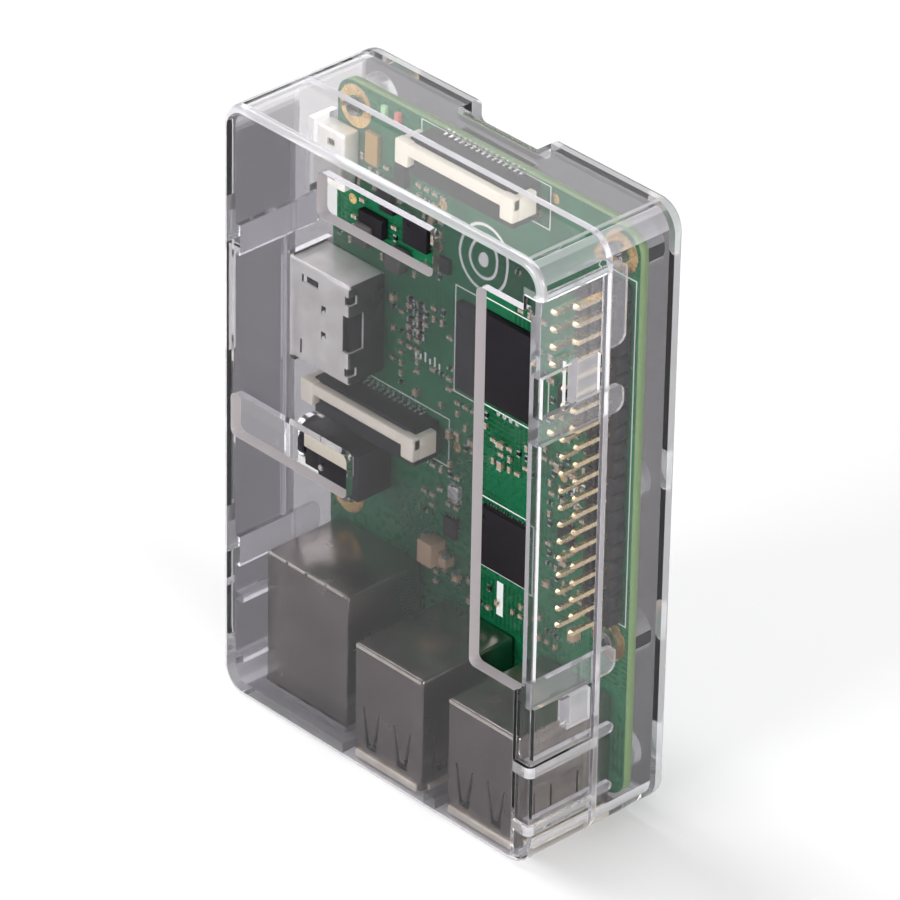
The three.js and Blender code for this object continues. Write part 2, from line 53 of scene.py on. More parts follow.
# Centre of the pin header
HEADER_V = 52.5
HEADER_Z = 52.5
HOLES = [(v, z) for v in (3.5, 52.5) for z in (81.5, 23.5)]
# Coincident corners closer than this are one corner
WELD = 0.002 * MM


def point(v, h, z):
    return BOARD + Vector((v, -h, z)) * MM


def node_span(node):
    """A CAD node's lowest and highest v, h and z."""
    low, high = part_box(node)
    low, high = (low - BOARD) / MM, (high - BOARD) / MM
    return (low.x, -high.y, low.z), (high.x, -low.y, high.z)


# Shapes

AXIS_TURNS = {
    "v": Matrix.Rotation(math.pi / 2, 4, "Y"),
    "h": Matrix.Rotation(math.pi / 2, 4, "X"),
    "z": Matrix.Identity(4),
}


def round_edges(bm, edges, bevel, segments):
    bmesh.ops.bevel(
        bm, geom=edges, offset=bevel, segments=segments, profile=0.5, affect="EDGES", clamp_overlap=True
    )


def soften(bm, verts, bevel, segments):
    edges = dict.fromkeys(edge for vert in verts for edge in vert.link_edges)
    round_edges(bm, list(edges), bevel, segments)


def add_block(bm, low, high, bevel=0.0, segments=2):
    low, high = Vector(low), Vector(high)
    place = Matrix.Translation((low + high) / 2) @ Matrix.Diagonal((*(high - low), 1))
    made = bmesh.ops.create_cube(bm, size=1.0, matrix=place)
    if bevel:
        soften(bm, made["verts"], bevel, segments)


def add_rod(bm, axis, centre, radius, length, sides=24, end_radius=None, spin=0.0):
    turn = AXIS_TURNS[axis] @ Matrix.Rotation(spin, 4, "Z")
    bmesh.ops.create_cone(
        bm,
        cap_ends=True,
        segments=sides,
        radius1=radius,
        radius2=radius if end_radius is None else end_radius,
        depth=length,
        matrix=Matrix.Translation(centre) @ turn,
    )


def add_prism(bm, axis, outline, low, high, bevel=0.0, segments=2):
    """A flat outline, in the other two of v, h and z in that order, pushed from low to high along axis."""
    spot = {
        "v": lambda a, b, along: (along, a, b),
        "h": lambda a, b, along: (a, along, b),
        "z": lambda a, b, along: (a, b, along),
    }[axis]
    rings = [[bm.verts.new(spot(a, b, along)) for a, b in outline] for along in (low, high)]
    bm.faces.new(rings[0])
    bm.faces.new(rings[1][::-1])
    count = len(outline)
    for i in range(count):
        j = (i + 1) % count
        bm.faces.new((rings[0][i], rings[1][i], rings[1][j], rings[0][j]))
    if bevel:
        soften(bm, rings[0] + rings[1], bevel, segments)


RING_SIDES = 32


def add_ring(bm, centre, outer, inner, length):
    """A washer lying on the board."""
    turn = Matrix.Translation(centre) @ AXIS_TURNS["h"]
    loops = []
    for radius, along in ((outer, -0.5), (outer, 0.5), (inner, 0.5), (inner, -0.5)):
        loop = []
        for i in range(RING_SIDES):
            angle = 2 * math.pi * i / RING_SIDES
            place = Vector((radius * math.cos(angle), radius * math.sin(angle), along * length))
            loop.append(bm.verts.new(turn @ place))
        loops.append(loop)
    for k in range(4):
        here, there = loops[k], loops[(k + 1) % 4]
        for i in range(RING_SIDES):
            j = (i + 1) % RING_SIDES
            bm.faces.new((here[i], here[j], there[j], there[i]))


def add_frame(bm, low, high, width, h, height):
    """A thin rectangular outline printed or laid on the board."""
    (v0, z0), (v1, z1) = low, high
    for a, b in (
        ((v0, z0), (v1, z0 + width)),
        ((v0, z1 - width), (v1, z1)),
        ((v0, z0 + width), (v0 + width, z1 - width)),
        ((v1 - width, z0 + width), (v1, z1 - width)),
    ):
        add_block(bm, (a[0], h, a[1]), (b[0], h + height, b[1]))


def temporary(bm):
    bmesh.ops.recalc_face_normals(bm, faces=bm.faces)
    mesh = bpy.data.meshes.new("temporary")
    bm.to_mesh(mesh)
    obj = bpy.data.objects.new("temporary", mesh)
    bpy.context.scene.collection.objects.link(obj)
    return obj


def carved(solid, tool):
    """The solid with the tool's space taken away."""
    base = temporary(solid)
    other = temporary(tool)
    step = base.modifiers.new("carve", "BOOLEAN")
    step.operation = "DIFFERENCE"
    step.solver = "EXACT"
    step.use_self = True
    step.object = other
    bpy.context.view_layer.update()
    shaped = base.evaluated_get(bpy.context.evaluated_depsgraph_get())
    result = bmesh.new()
    result.from_mesh(shaped.to_mesh())
    shaped.to_mesh_clear()
    for obj in (base, other):
        mesh = obj.data
        bpy.data.objects.remove(obj)
        bpy.data.meshes.remove(mesh)
    return result


def without_block(solid, low, high, bevel=0.0):
    """The solid with the space between two corners taken away."""
    space = bmesh.new()
    add_block(space, low, high, bevel=bevel)
    return carved(solid, space)


def finish_mesh(obj, sharp_angle=40):
    """Shades the mesh smooth across every edge that turns less than the angle in degrees."""
    for polygon in obj.data.polygons:
        polygon.use_smooth = True
    obj.data.set_sharp_from_angle(angle=math.radians(sharp_angle))


def connected_faces(bm):
    """The faces in groups, one for each closed skin."""
    bm.faces.ensure_lookup_table()
    bm.faces.index_update()
    seen = set()
    for first in bm.faces:
        if first.index in seen:
            continue
        seen.add(first.index)
        group, waiting = [], [first]
        while waiting:
            face = waiting.pop()
            group.append(face)
            for other in (f for edge in face.edges for f in edge.link_faces):
                if other.index not in seen:
                    seen.add(other.index)
                    waiting.append(other)
        yield group


def enclosed_volume(faces):
    """The volume inside a closed skin, below zero where its faces look inward."""
    total = 0.0
    for face in faces:
        first, *others = (vert.co for vert in face.verts)
        for a, b in zip(others, others[1:]):
            total += first.dot(a.cross(b)) / 6
    return total


def turn_outward(bm):
    """Makes every closed skin's faces look outward."""
    bmesh.ops.recalc_face_normals(bm, faces=bm.faces)
    inward = [face for group in connected_faces(bm) if enclosed_volume(group) < 0 for face in group]
    bmesh.ops.reverse_faces(bm, faces=inward)


def show_mesh(name, bm, *materials):
    mesh = bpy.data.meshes.new(name)
    bm.to_mesh(mesh)
    bm.free()
    for material in materials:
        mesh.materials.append(material)
    obj = bpy.data.objects.new(name, mesh)
    bpy.context.scene.collection.objects.link(obj)
    return obj


def cad_mesh(node):
    """A CAD solid's mesh, with the corners that its faces share joined."""
    bm = bmesh.new()
    bm.from_mesh(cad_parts[node].data)
    bmesh.ops.remove_doubles(bm, verts=bm.verts, dist=WELD)
    return bm


def piece(name, bm, material, body, nodes=()):
    """Makes one named piece from a bmesh in board millimetres.

    point() mirrors h, so the faces are turned back afterwards.
    """
    turn_outward(bm)
    for vert in bm.verts:
        vert.co = point(*vert.co)
    bmesh.ops.reverse_faces(bm, faces=bm.faces)
    obj = show_mesh(name, bm, material)
    finish_mesh(obj)
    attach(obj, body)
    if nodes:
        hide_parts(*nodes)
    return obj


# Materials


def node_tree(name):
    material = bpy.data.materials.new(name)
    material.use_nodes = True
    tree = material.node_tree
    return material, tree, tree.nodes["Principled BSDF"]


def add_node(tree, kind, **inputs):
    node = tree.nodes.new(kind)
    for key, value in inputs.items():
        node.inputs[key.replace("_", " ")].default_value = value
    return node


def grain_noise(tree, size_mm, detail=4.0):
    """Noise with grains of about this size, fixed to the piece."""
    place = tree.nodes.new("ShaderNodeTexCoord")
    noise = add_node(tree, "ShaderNodeTexNoise", Scale=1 / (size_mm * MM), Detail=detail)
    tree.links.new(place.outputs["Object"], noise.inputs["Vector"])
    return noise


def math_node(tree, operation, first, second):
    """A math node on a socket and either another socket or a number."""
    node = tree.nodes.new("ShaderNodeMath")
    node.operation = operation
    tree.links.new(first, node.inputs[0])
    if isinstance(second, bpy.types.NodeSocket):
        tree.links.new(second, node.inputs[1])
    else:
        node.inputs[1].default_value = second
    return node.outputs[0]


# Most of a noise texture's values lie between these
NOISE_LOW = 0.3
NOISE_HIGH = 0.7


def ranged(tree, source, low, high):
    """Stretches a noise value to the range from low to high."""
    spread = tree.nodes.new("ShaderNodeMapRange")
    spread.inputs["From Min"].default_value = NOISE_LOW
    spread.inputs["From Max"].default_value = NOISE_HIGH
    spread.inputs["To Min"].default_value = low
    spread.inputs["To Max"].default_value = high
    tree.links.new(source, spread.inputs["Value"])
    return spread.outputs["Result"]


def blend_colours(tree, factor, first, second):
    """Mixes two colours, each a triple or another node's socket."""
    mix = tree.nodes.new("ShaderNodeMix")
    mix.data_type = "RGBA"
    for socket, value in ((mix.inputs[6], first), (mix.inputs[7], second)):
        if isinstance(value, bpy.types.NodeSocket):
            tree.links.new(value, socket)
        else:
            socket.default_value = (*value, 1)
    tree.links.new(factor, mix.inputs[0])
    return mix.outputs[2]


GRAIN_DEPTH = 0.02
MIRROR_LIMIT = 0.03


def plain_finish(
    name, colour, roughness, metallic=0.0, size_mm=0.6, bump=0.15, vary=0.12, spread=0.06, shine=0.5
):
    """One base colour with a fine uneven grain in colour, gloss and surface."""
    material, tree, shader = node_tree(name)
    shader.inputs["Metallic"].default_value = metallic
    shader.inputs["Specular IOR Level"].default_value = shine
    noise = grain_noise(tree, size_mm)
    dark = [c * (1 - vary) for c in colour]
    light = [min(1.0, c * (1 + vary)) for c in colour]
    mottle = ranged(tree, noise.outputs["Fac"], 0, 1)
    tree.links.new(blend_colours(tree, mottle, dark, light), shader.inputs["Base Color"])
    tree.links.new(
        ranged(tree, noise.outputs["Fac"], max(MIRROR_LIMIT, roughness - spread), roughness + spread),
        shader.inputs["Roughness"],
    )
    relief = add_node(tree, "ShaderNodeBump", Strength=bump, Distance=GRAIN_DEPTH * MM)
    tree.links.new(noise.outputs["Fac"], relief.inputs["Height"])
    tree.links.new(relief.outputs["Normal"], shader.inputs["Normal"])
    return material


# How much of each colour a wall of the case lets through. The case is one plastic: the lid's tint is its own,
# and the six after it are copies made darker or lighter by place as painted shade and painted light.
LID_TINT = (0.45, 0.438, 0.466)
# Lid walls at low v: a darker copy of the plastic, painted shade
LID_PAINTED_SHADE_WALL_TINT = (0.305, 0.296, 0.315)
# The base's broad faces: a darker copy of the plastic, painted shade for the board's shadow behind them
BASE_PAINTED_SHADE_TINT = (0.20, 0.194, 0.208)
# Side walls of lid and base: a lighter copy of the plastic, painted light
SIDE_TINT = (0.72, 0.71, 0.72)
# Rounded edges, narrow faces, the floor's rim and the bosses under the board: a milky, almost untinted copy,
# painted highlight
EDGE_PAINTED_HIGHLIGHT_TINT = (0.95, 0.94, 0.97)
# Lower and left walls of the lid's slots: a milky copy of the plastic, painted light
SLOT_PAINTED_LIGHT_TINT = (0.40, 0.365, 0.375)
# Lips, snap arms and the parting line: a milky copy of the plastic, painted sheen
PAINTED_SHEEN_TINT = (0.90, 0.89, 0.92)
CASE_SHADOW_TINT = (0.86, 0.86, 0.87)
# Low and high roughness of a polished wall, and the bend of light in broad walls and in thick edges
POLISHED = (0.012, 0.05)
WALL_BEND = 1.25
EDGE_BEND = 1.42
MOULDING_WAVES = 9.0


def clear_plastic(name, tint, clearness, gloss, bend):
    """Clear polycarbonate with a faint grey tint. Light on its way in passes straight through."""
    material, tree, shader = node_tree(name)
    shader.inputs["Base Color"].default_value = (*tint, 1)
    shader.inputs["Transmission Weight"].default_value = clearness
    shader.inputs["IOR"].default_value = bend
    noise = grain_noise(tree, MOULDING_WAVES, detail=2.0)
    tree.links.new(ranged(tree, noise.outputs["Fac"], *gloss), shader.inputs["Roughness"])
    through = tree.nodes.new("ShaderNodeBsdfTransparent")
    through.inputs["Color"].default_value = (*CASE_SHADOW_TINT, 1)
    path = tree.nodes.new("ShaderNodeLightPath")
    either = math_node(tree, "MAXIMUM", path.outputs["Is Shadow Ray"], path.outputs["Is Diffuse Ray"])
    mix = tree.nodes.new("ShaderNodeMixShader")
    tree.links.new(either, mix.inputs[0])
    tree.links.new(shader.outputs[0], mix.inputs[1])
    tree.links.new(through.outputs[0], mix.inputs[2])
    tree.links.new(mix.outputs[0], tree.nodes["Material Output"].inputs["Surface"])
    return material


TRACE_BUNDLE = 6.5
TRACES_PER_MM = 0.4
VIA_SPACING = 2.1
# As a share of their spacing
VIA_RADIUS = 0.11
COPPER_RELIEF = 0.035
MASK_OVER_BASE = (0.0045, 0.078, 0.031)
MASK_OVER_COPPER = (0.0075, 0.130, 0.054)
MASK_OVER_VIA = (0.09, 0.24, 0.13)


def board_mask():
    """Green solder mask over copper: bundles of traces, bare gaps between them, and covered vias."""
    material, tree, shader = node_tree("board_mask")
    place = tree.nodes.new("ShaderNodeTexCoord")
    cells = add_node(tree, "ShaderNodeTexVoronoi", Scale=1 / (TRACE_BUNDLE * MM), Randomness=0.7)
    cells.distance = "CHEBYCHEV"
    tree.links.new(place.outputs["Object"], cells.inputs["Vector"])
    parts = tree.nodes.new("ShaderNodeSeparateColor")
    tree.links.new(cells.outputs["Color"], parts.inputs["Color"])
    stripes = []
    for direction in ("X", "Z"):
        wave = add_node(tree, "ShaderNodeTexWave", Scale=TRACES_PER_MM / MM, Distortion=0.0, Detail=0.0)
        wave.bands_direction = direction
        tree.links.new(place.outputs["Object"], wave.inputs["Vector"])
        stripes.append(wave.outputs["Fac"])
    which = math_node(tree, "GREATER_THAN", parts.outputs["Red"], 0.5)
    lines = tree.nodes.new("ShaderNodeMix")
    tree.links.new(which, lines.inputs[0])
    tree.links.new(stripes[0], lines.inputs[2])
    tree.links.new(stripes[1], lines.inputs[3])
    edge = math_node(tree, "GREATER_THAN", lines.outputs[0], 0.55)
    poured = math_node(tree, "GREATER_THAN", parts.outputs["Green"], 0.5)
    copper = math_node(tree, "MAXIMUM", edge, poured)
    mask = blend_colours(tree, copper, MASK_OVER_BASE, MASK_OVER_COPPER)
    vias = add_node(tree, "ShaderNodeTexVoronoi", Scale=1 / (VIA_SPACING * MM), Randomness=0.9)
    tree.links.new(place.outputs["Object"], vias.inputs["Vector"])
    near = math_node(tree, "LESS_THAN", vias.outputs["Distance"], VIA_RADIUS)
    colour = blend_colours(tree, near, mask, MASK_OVER_VIA)
    shader.inputs["Specular IOR Level"].default_value = 0.12
    tree.links.new(colour, shader.inputs["Base Color"])
    noise = grain_noise(tree, 1.2)
    tree.links.new(ranged(tree, noise.outputs["Fac"], 0.22, 0.36), shader.inputs["Roughness"])
    relief = add_node(tree, "ShaderNodeBump", Strength=0.35, Distance=COPPER_RELIEF * MM)
    tree.links.new(copper, relief.inputs["Height"])
    tree.links.new(relief.outputs["Normal"], shader.inputs["Normal"])
    return material


CLEAR_LID = clear_plastic("clear_plastic_lid", LID_TINT, 0.995, POLISHED, WALL_BEND)
CLEAR_PAINTED_SHADE_WALL = clear_plastic("clear_plastic_painted_shade_wall", LID_PAINTED_SHADE_WALL_TINT, 0.995, POLISHED, WALL_BEND)
CLEAR_PAINTED_SHADE_BASE = clear_plastic("clear_plastic_painted_shade_base", BASE_PAINTED_SHADE_TINT, 0.995, POLISHED, WALL_BEND)
CLEAR_PAINTED_LIGHT_SIDE = clear_plastic("clear_plastic_painted_light_side", SIDE_TINT, 0.99, POLISHED, WALL_BEND)
CLEAR_PAINTED_HIGHLIGHT_EDGE = clear_plastic("clear_plastic_painted_highlight_edge", EDGE_PAINTED_HIGHLIGHT_TINT, 0.7, (0.1, 0.2), EDGE_BEND)
CLEAR_PAINTED_LIGHT_SLOT = clear_plastic("clear_plastic_painted_light_slot", SLOT_PAINTED_LIGHT_TINT, 0.25, (0.3, 0.4), EDGE_BEND)
CLEAR_PAINTED_SHEEN = clear_plastic("clear_plastic_painted_sheen", PAINTED_SHEEN_TINT, 0.88, (0.03, 0.08), EDGE_BEND)
MASK = board_mask()
LAMINATE = plain_finish("laminate_edge", (0.18, 0.30, 0.11), 0.55, size_mm=0.3)
NICKEL = plain_finish("nickel", (0.375, 0.343, 0.314), 0.24, metallic=1.0, size_mm=5, bump=0.02, spread=0.04)
# A darker copy of the nickel: painted shade and a painted dark reflection on faces that look toward the pin
# header
NICKEL_PAINTED_SHADE = plain_finish("nickel_painted_shade", (0.15, 0.145, 0.145), 0.3, metallic=1.0, size_mm=3, bump=0.02)
PALE_NICKEL = plain_finish("pale_nickel", (0.95, 0.90, 0.84), 0.36, metallic=0.35, size_mm=3, bump=0.02)
# A lighter, beige copy of the shells' metal for the flared lips and seams: painted highlight where they catch
# the light
SHELL_PAINTED_HIGHLIGHT = plain_finish("shell_painted_highlight", (0.95, 0.86, 0.74), 0.4, metallic=0.5, size_mm=1.2, bump=0.05)
GOLD = plain_finish("gold", (0.86, 0.60, 0.27), 0.26, metallic=1.0, size_mm=0.8, bump=0.05)
PIN_GOLD = plain_finish("pin_gold", (0.92, 0.74, 0.48), 0.26, metallic=1.0, size_mm=0.8, bump=0.05)
TIN = plain_finish("tin", (0.78, 0.78, 0.76), 0.28, metallic=1.0, size_mm=0.4, bump=0.2)
CHIP = plain_finish("chip_epoxy", (0.014, 0.012, 0.015), 0.5, size_mm=0.12, bump=0.3, shine=0.1)
BLACK = plain_finish("socket_black", (0.013, 0.012, 0.015), 0.4, size_mm=0.4, bump=0.15, shine=0.2)
CREAM = plain_finish("latch_cream", (0.88, 0.82, 0.69), 0.42, size_mm=0.5, bump=0.1, vary=0.05)
JACK_LABEL = plain_finish("jack_label", (0.46, 0.42, 0.35), 0.5, size_mm=0.5, bump=0.1, vary=0.05)
WHITE = plain_finish("socket_white", (0.78, 0.75, 0.68), 0.45, size_mm=0.5, bump=0.1, vary=0.05)
FERRITE = plain_finish("ferrite", (0.06, 0.057, 0.055), 0.7, size_mm=0.15, bump=0.4)
CERAMIC = plain_finish("capacitor_ceramic", (0.40, 0.28, 0.18), 0.45, size_mm=0.3, bump=0.1)
FUSE = plain_finish("fuse_polymer", (0.42, 0.26, 0.07), 0.5, size_mm=0.4)
SILK = plain_finish("silkscreen_white", (0.80, 0.82, 0.80), 0.6, size_mm=0.25, bump=0.1, vary=0.06)
LAMP_RED = plain_finish("lamp_red", (0.70, 0.20, 0.15), 0.25, size_mm=0.5, bump=0.05, vary=0.05)
LAMP_GREEN = plain_finish("lamp_green", (0.42, 0.70, 0.38), 0.25, size_mm=0.5, bump=0.05, vary=0.05)
LAMP_AMBER = plain_finish("lamp_amber", (0.80, 0.50, 0.15), 0.25, size_mm=0.5, bump=0.05, vary=0.05)


# Case

EDGE_ROUNDING = 0.22
# A bend between two faces, in degrees, under which they are one face, and over which the edge is rounded
ONE_FACE_BEND = 0.5
ROUNDED_BEND = 40
SMOOTH_BEND = 35

# Slots of the lid: low and high corner in v and z
SLOTS = [((16.5, 78.2), (38.2, 84.8)), ((-0.1, 38.2), (22.5, 44.8)), ((46.2, 24.4), (55.5, 80.8))]
SLOT_MARGIN = 0.1
# Tints of the case's one plastic, by place: copies that stand in for light and shade
CASE_LIGHT_AND_SHADE_TINTS = ["tinted", "side", "edge", "slot", "painted_sheen", "painted_shade_wall"]
# Inner side of the lid's broad face, inner side of the base's floor, and where lid and base meet
FACE_INSIDE_H = 16.8
FACE_BAND_H = FACE_INSIDE_H - 0.1
FLOOR_H = -4.6
PARTING_H = 6.35
# Lips on the lid's header side: z from and to, and the v from which they run outward
LIPS = [(3.0, 4.4), (12.0, 13.6), (83.0, 84.2)]
LIP_BANDS = [(low - 0.05, high + 0.05) for low, high in LIPS]
LIP_V = 54.7
# Where the snap arms lie in v, and their hooks in z
ARM_BANDS = [(-0.35, 1.3), (55.4, 56.35)]
HOOK_BANDS = [(65.1, 71.1), (15.9, 20.9)]
# A normal with a part over this is square to an axis
SQUARE = 0.985
NARROW = 0.4


def within(value, bands):
    return any(low < value < high for low, high in bands)


def mean_width(mesh, polygon):
    corners = [mesh.vertices[i].co for i in polygon.vertices]
    longest = max((corners[i] - corners[i - 1]).length for i in range(len(corners)))
    return polygon.area / max(longest, 1e-6) / MM


def near_slot(v, z):
    return any(
        low[0] - SLOT_MARGIN < v < high[0] + SLOT_MARGIN and low[1] - SLOT_MARGIN < z < high[1] + SLOT_MARGIN
        for low, high in SLOTS
    )


def under_board(v, h, z):
    """Whether this is on the bosses, pegs and pads between the base's floor and the board."""
    return -BOARD_THICKNESS > h > FLOOR_H + 0.05 and 0.5 < v < 55.5 and 1 < z < 86


def tint_by_light_and_shade(mesh, polygon):
    """Which tint a face takes, by place: the part's own on broad faces, lighter copies as painted light on
    side walls and on the lower and left slot walls, milky copies as painted highlight on edges and bosses and
    as painted sheen on lips, arms and the parting line, and a darker copy as painted shade on the lid's walls
    at low v.
    """
    normal = polygon.normal
    place = (polygon.center - BOARD) / MM
    v, h, z = place.x, -place.y, place.z
    wall = abs(normal.y) < 0.5
    # Slot walls: the lower and left ones take a milky tint as painted light, the upper and right ones the
    # plain tint
    if h > FACE_BAND_H and near_slot(v, z) and abs(normal.y) < SQUARE:
        return "slot" if normal.x + normal.z > 0.3 else "tinted"
    # Bosses and pads under the board, the floor's outer rim, and slanted or narrow faces: painted highlight
    if under_board(v, h, z) or h < FLOOR_H and wall:
        return "edge"
    slanted = max(abs(part) for part in normal) < SQUARE
    if slanted and (abs(normal.y) > 0.05 or mean_width(mesh, polygon) < NARROW):
        return "edge"
    # Snap arms, the parting line and the lips take a painted sheen, with painted highlight beside the hooks
    # and at the display end
    if -BOARD_THICKNESS < h < FACE_BAND_H and within(v, ARM_BANDS):
        beside_hook = v > 50 and 6.7 < h < 11.5 and within(z, HOOK_BANDS)
        return "edge" if beside_hook else "painted_sheen"
    if abs(normal.y) > 0.5 and abs(h - PARTING_H) < 0.2:
        return "edge" if z > 80 else "painted_sheen"
    on_header_side = v > 57.2 or v > LIP_V and h > 18
    if h > PARTING_H and on_header_side and within(z, LIP_BANDS):
        return "painted_sheen"
    # Side walls take the lighter tint, painted light
    if wall and (v > 52 or z > 80 or h < PARTING_H):
        return "side"
    # The lid's walls at low v take the darker tint, painted shade
    return "painted_shade_wall" if wall and v < 0 else "tinted"


def score(bm, place, normal):
    """Cuts the faces along a plane without changing the shape, so that each side can take its own tint of
    painted light and shade.
    """
    everything = bm.verts[:] + bm.edges[:] + bm.faces[:]
    bmesh.ops.bisect_plane(bm, geom=everything, plane_co=place, plane_no=normal)


def case_moulding(node, body, material):
    """The case part from its CAD solid, with its edges rounded as a moulding's are."""
    bm = cad_mesh(node)
    bmesh.ops.dissolve_limit(
        bm,
        angle_limit=math.radians(ONE_FACE_BEND),
        verts=bm.verts,
        edges=bm.edges,
        use_dissolve_boundaries=False,
    )
    bend = math.radians(ROUNDED_BEND)
    sharp = [e for e in bm.edges if len(e.link_faces) == 2 and e.calc_face_angle() > bend]
    round_edges(bm, sharp, EDGE_ROUNDING * MM, 2)
    for level in (level for lip in LIPS for level in lip):
        score(bm, point(0, 0, level), (0, 0, 1))
    score(bm, point(LIP_V, 0, 0), (1, 0, 0))
    score(bm, point(0, FLOOR_H, 0), (0, 1, 0))
    bmesh.ops.dissolve_degenerate(bm, dist=0.001 * MM, edges=bm.edges)
    # The part's own tint, then its lighter and darker copies for painted light and shade
    light_and_shade_tints = (material, CLEAR_PAINTED_LIGHT_SIDE, CLEAR_PAINTED_HIGHLIGHT_EDGE, CLEAR_PAINTED_LIGHT_SLOT, CLEAR_PAINTED_SHEEN, CLEAR_PAINTED_SHADE_WALL)
    obj = show_mesh(node + "_moulding", bm, *light_and_shade_tints)
    for polygon in obj.data.polygons:
        polygon.material_index = CASE_LIGHT_AND_SHADE_TINTS.index(tint_by_light_and_shade(obj.data, polygon))
    finish_mesh(obj, SMOOTH_BEND)
    even = obj.modifiers.new("flat_faces_stay_flat", "WEIGHTED_NORMAL")
    even.keep_sharp = True
    even.weight = 100
    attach(obj, body)
    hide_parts(node)


# Board


def circuit_board():
    """The board with green mask on its two faces and bare laminate on its cut edges."""
    obj = show_mesh("circuit_board_laminate", cad_mesh("circuit_board"), MASK, LAMINATE)
    for polygon in obj.data.polygons:
        polygon.material_index = 0 if abs(polygon.normal.y) > 0.5 else 1
    finish_mesh(obj)
    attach(obj, "base")
    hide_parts("circuit_board")


TEST_PADS = [(3.1, 68.2), (37.7, 80.0), (41.0, 83.4), (24.5, 40.0), (43.5, 44.0), (20.5, 74.0)]


def plated_copper():
    bm = bmesh.new()
    for v, z in HOLES:
        for h in (0.03, -BOARD_THICKNESS - 0.03):
            add_ring(bm, (v, h, z), 3.05, 1.5, 0.05)
    for v, z in TEST_PADS:
        add_rod(bm, "h", (v, 0.03, z), 0.75, 0.05)
    piece("plated_rings_and_pads", bm, GOLD, "base")


def header_solder():
    bm = bmesh.new()
    for v, z in pin_places():
        add_rod(bm, "h", (v, -BOARD_THICKNESS - 0.4, z), 0.38, 0.75, sides=12, end_radius=0.85)
    piece("header_solder_joints", bm, TIN, "base")


HEADER_REACH = PIN_PITCH * PINS_PER_ROW / 2 + 0.5
# Printed frames: low and high corner in v and z, and line width
PRINTED_FRAMES = [
    ((49.4, HEADER_Z - HEADER_REACH), (55.5, HEADER_Z + HEADER_REACH), 0.18),
    ((23.6, 48.2), (40.4, 64.4), 0.18),
    ((28.4, 23.6), (39.2, 34.4), 0.18),
    ((0.6, 36.2), (23.0, 43.6), 0.16),
    ((16.0, 78.4), (40.2, 84.8), 0.16),
]
PRINT_LIFT = 0.01
PRINT_HEIGHT = 0.02
EMBLEM = (28.7, PRINT_LIFT + PRINT_HEIGHT / 2, 70.0)
BADGE = (47.2, PRINT_LIFT + PRINT_HEIGHT / 2, 42.6)


def printed_bar(bm, low, high):
    add_block(bm, (low[0], PRINT_LIFT, low[1]), (high[0], PRINT_LIFT + PRINT_HEIGHT, high[1]))


def silkscreen():
    """Plain frames, bars and rings in place of the board's printing."""
    bm = bmesh.new()
    for low, high, width in PRINTED_FRAMES:
        add_frame(bm, low, high, width, PRINT_LIFT, PRINT_HEIGHT)
    printed_bar(bm, (31.9, 17.3), (33.1, 22.5))
    add_ring(bm, EMBLEM, 4.6, 4.2, PRINT_HEIGHT)
    add_ring(bm, EMBLEM, 2.7, 2.3, PRINT_HEIGHT)
    add_rod(bm, "h", EMBLEM, 0.9, PRINT_HEIGHT)
    add_ring(bm, BADGE, 1.9, 1.6, PRINT_HEIGHT)
    printed_bar(bm, (46.4, 42.4), (48.0, 42.8))
    for i in range(9):
        z = 74.5 - 2 * PIN_PITCH * i
        printed_bar(bm, (47.6, z), (48.8, z + 0.4))
    for i in range(6):
        v, tall = 16.2 + 0.9 * i, 0.9 if i % 2 else 1.5
        printed_bar(bm, (v, 50.2), (v + 0.3, 50.2 + tall))
    piece("silkscreen_marks", bm, SILK, "base")


PIN_WIDTH = 0.64
PIN_TOP = 8.0
PIN_TIP = 0.5


def pin_places():
    first = HEADER_Z - (PINS_PER_ROW - 1) / 2 * PIN_PITCH
    return [
        (HEADER_V + side * PIN_PITCH / 2, first + i * PIN_PITCH)
        for side in (-1, 1)
        for i in range(PINS_PER_ROW)
    ]


def pin_header():
    """One eight-sided cell on a foot for each pin, and two rows of square pins with tapered tips."""
    half, corner = PIN_PITCH / 2, 0.45
    block = bmesh.new()
    places = pin_places()
    for v, z in places:
        outline = [
            (v - half, z - half + corner),
            (v - half + corner, z - half),
            (v + half - corner, z - half),
            (v + half, z - half + corner),
            (v + half, z + half - corner),
            (v + half - corner, z + half),
            (v - half + corner, z + half),
            (v - half, z + half - corner),
        ]
        add_prism(block, "h", outline, 0.35, PIN_PITCH, bevel=0.08, segments=1)
        add_block(block, (v - 0.5, SEAT, z - 0.5), (v + 0.5, 0.4, z + 0.5))
    piece("header_moulding", block, BLACK, "base", ["header_block"])
    rows = {"header_pins_inner": places[:PINS_PER_ROW], "header_pins_outer": places[PINS_PER_ROW:]}
    low = -BOARD_THICKNESS - 1.45
    corner = PIN_WIDTH / math.sqrt(2)
    square = {"sides": 4, "spin": math.pi / 4}
    for node, row in rows.items():
        pins = bmesh.new()
        for v, z in row:
            add_rod(pins, "h", (v, (low + PIN_TOP) / 2, z), corner, PIN_TOP - low, **square)
            tip = (v, PIN_TOP + 0.24, z)
            add_rod(pins, "h", tip, 0.4 * corner, PIN_TIP, end_radius=corner, **square)
        piece(node + "_posts", pins, PIN_GOLD, "base", [node])


# Chips and small parts

# Small chips: v and z of the middle, half width in v and in z, height, and leads on each side
SMALL_CHIPS = [
    (44.2, 55.4, 1.4, 2.4, 0.9, 5),
    (24.0, 27.5, 1.2, 1.5, 0.8, 3),
    (44.6, 36.0, 1.3, 1.5, 0.8, 4),
    (7.6, 66.5, 2.3, 1.5, 1.2, 0),
    (13.0, 75.6, 1.1, 1.7, 0.9, 0),
    (21.6, 66.6, 1.3, 1.1, 0.8, 0),
]
LEAD_WIDTH = 0.24
LEAD_PITCH = 0.5


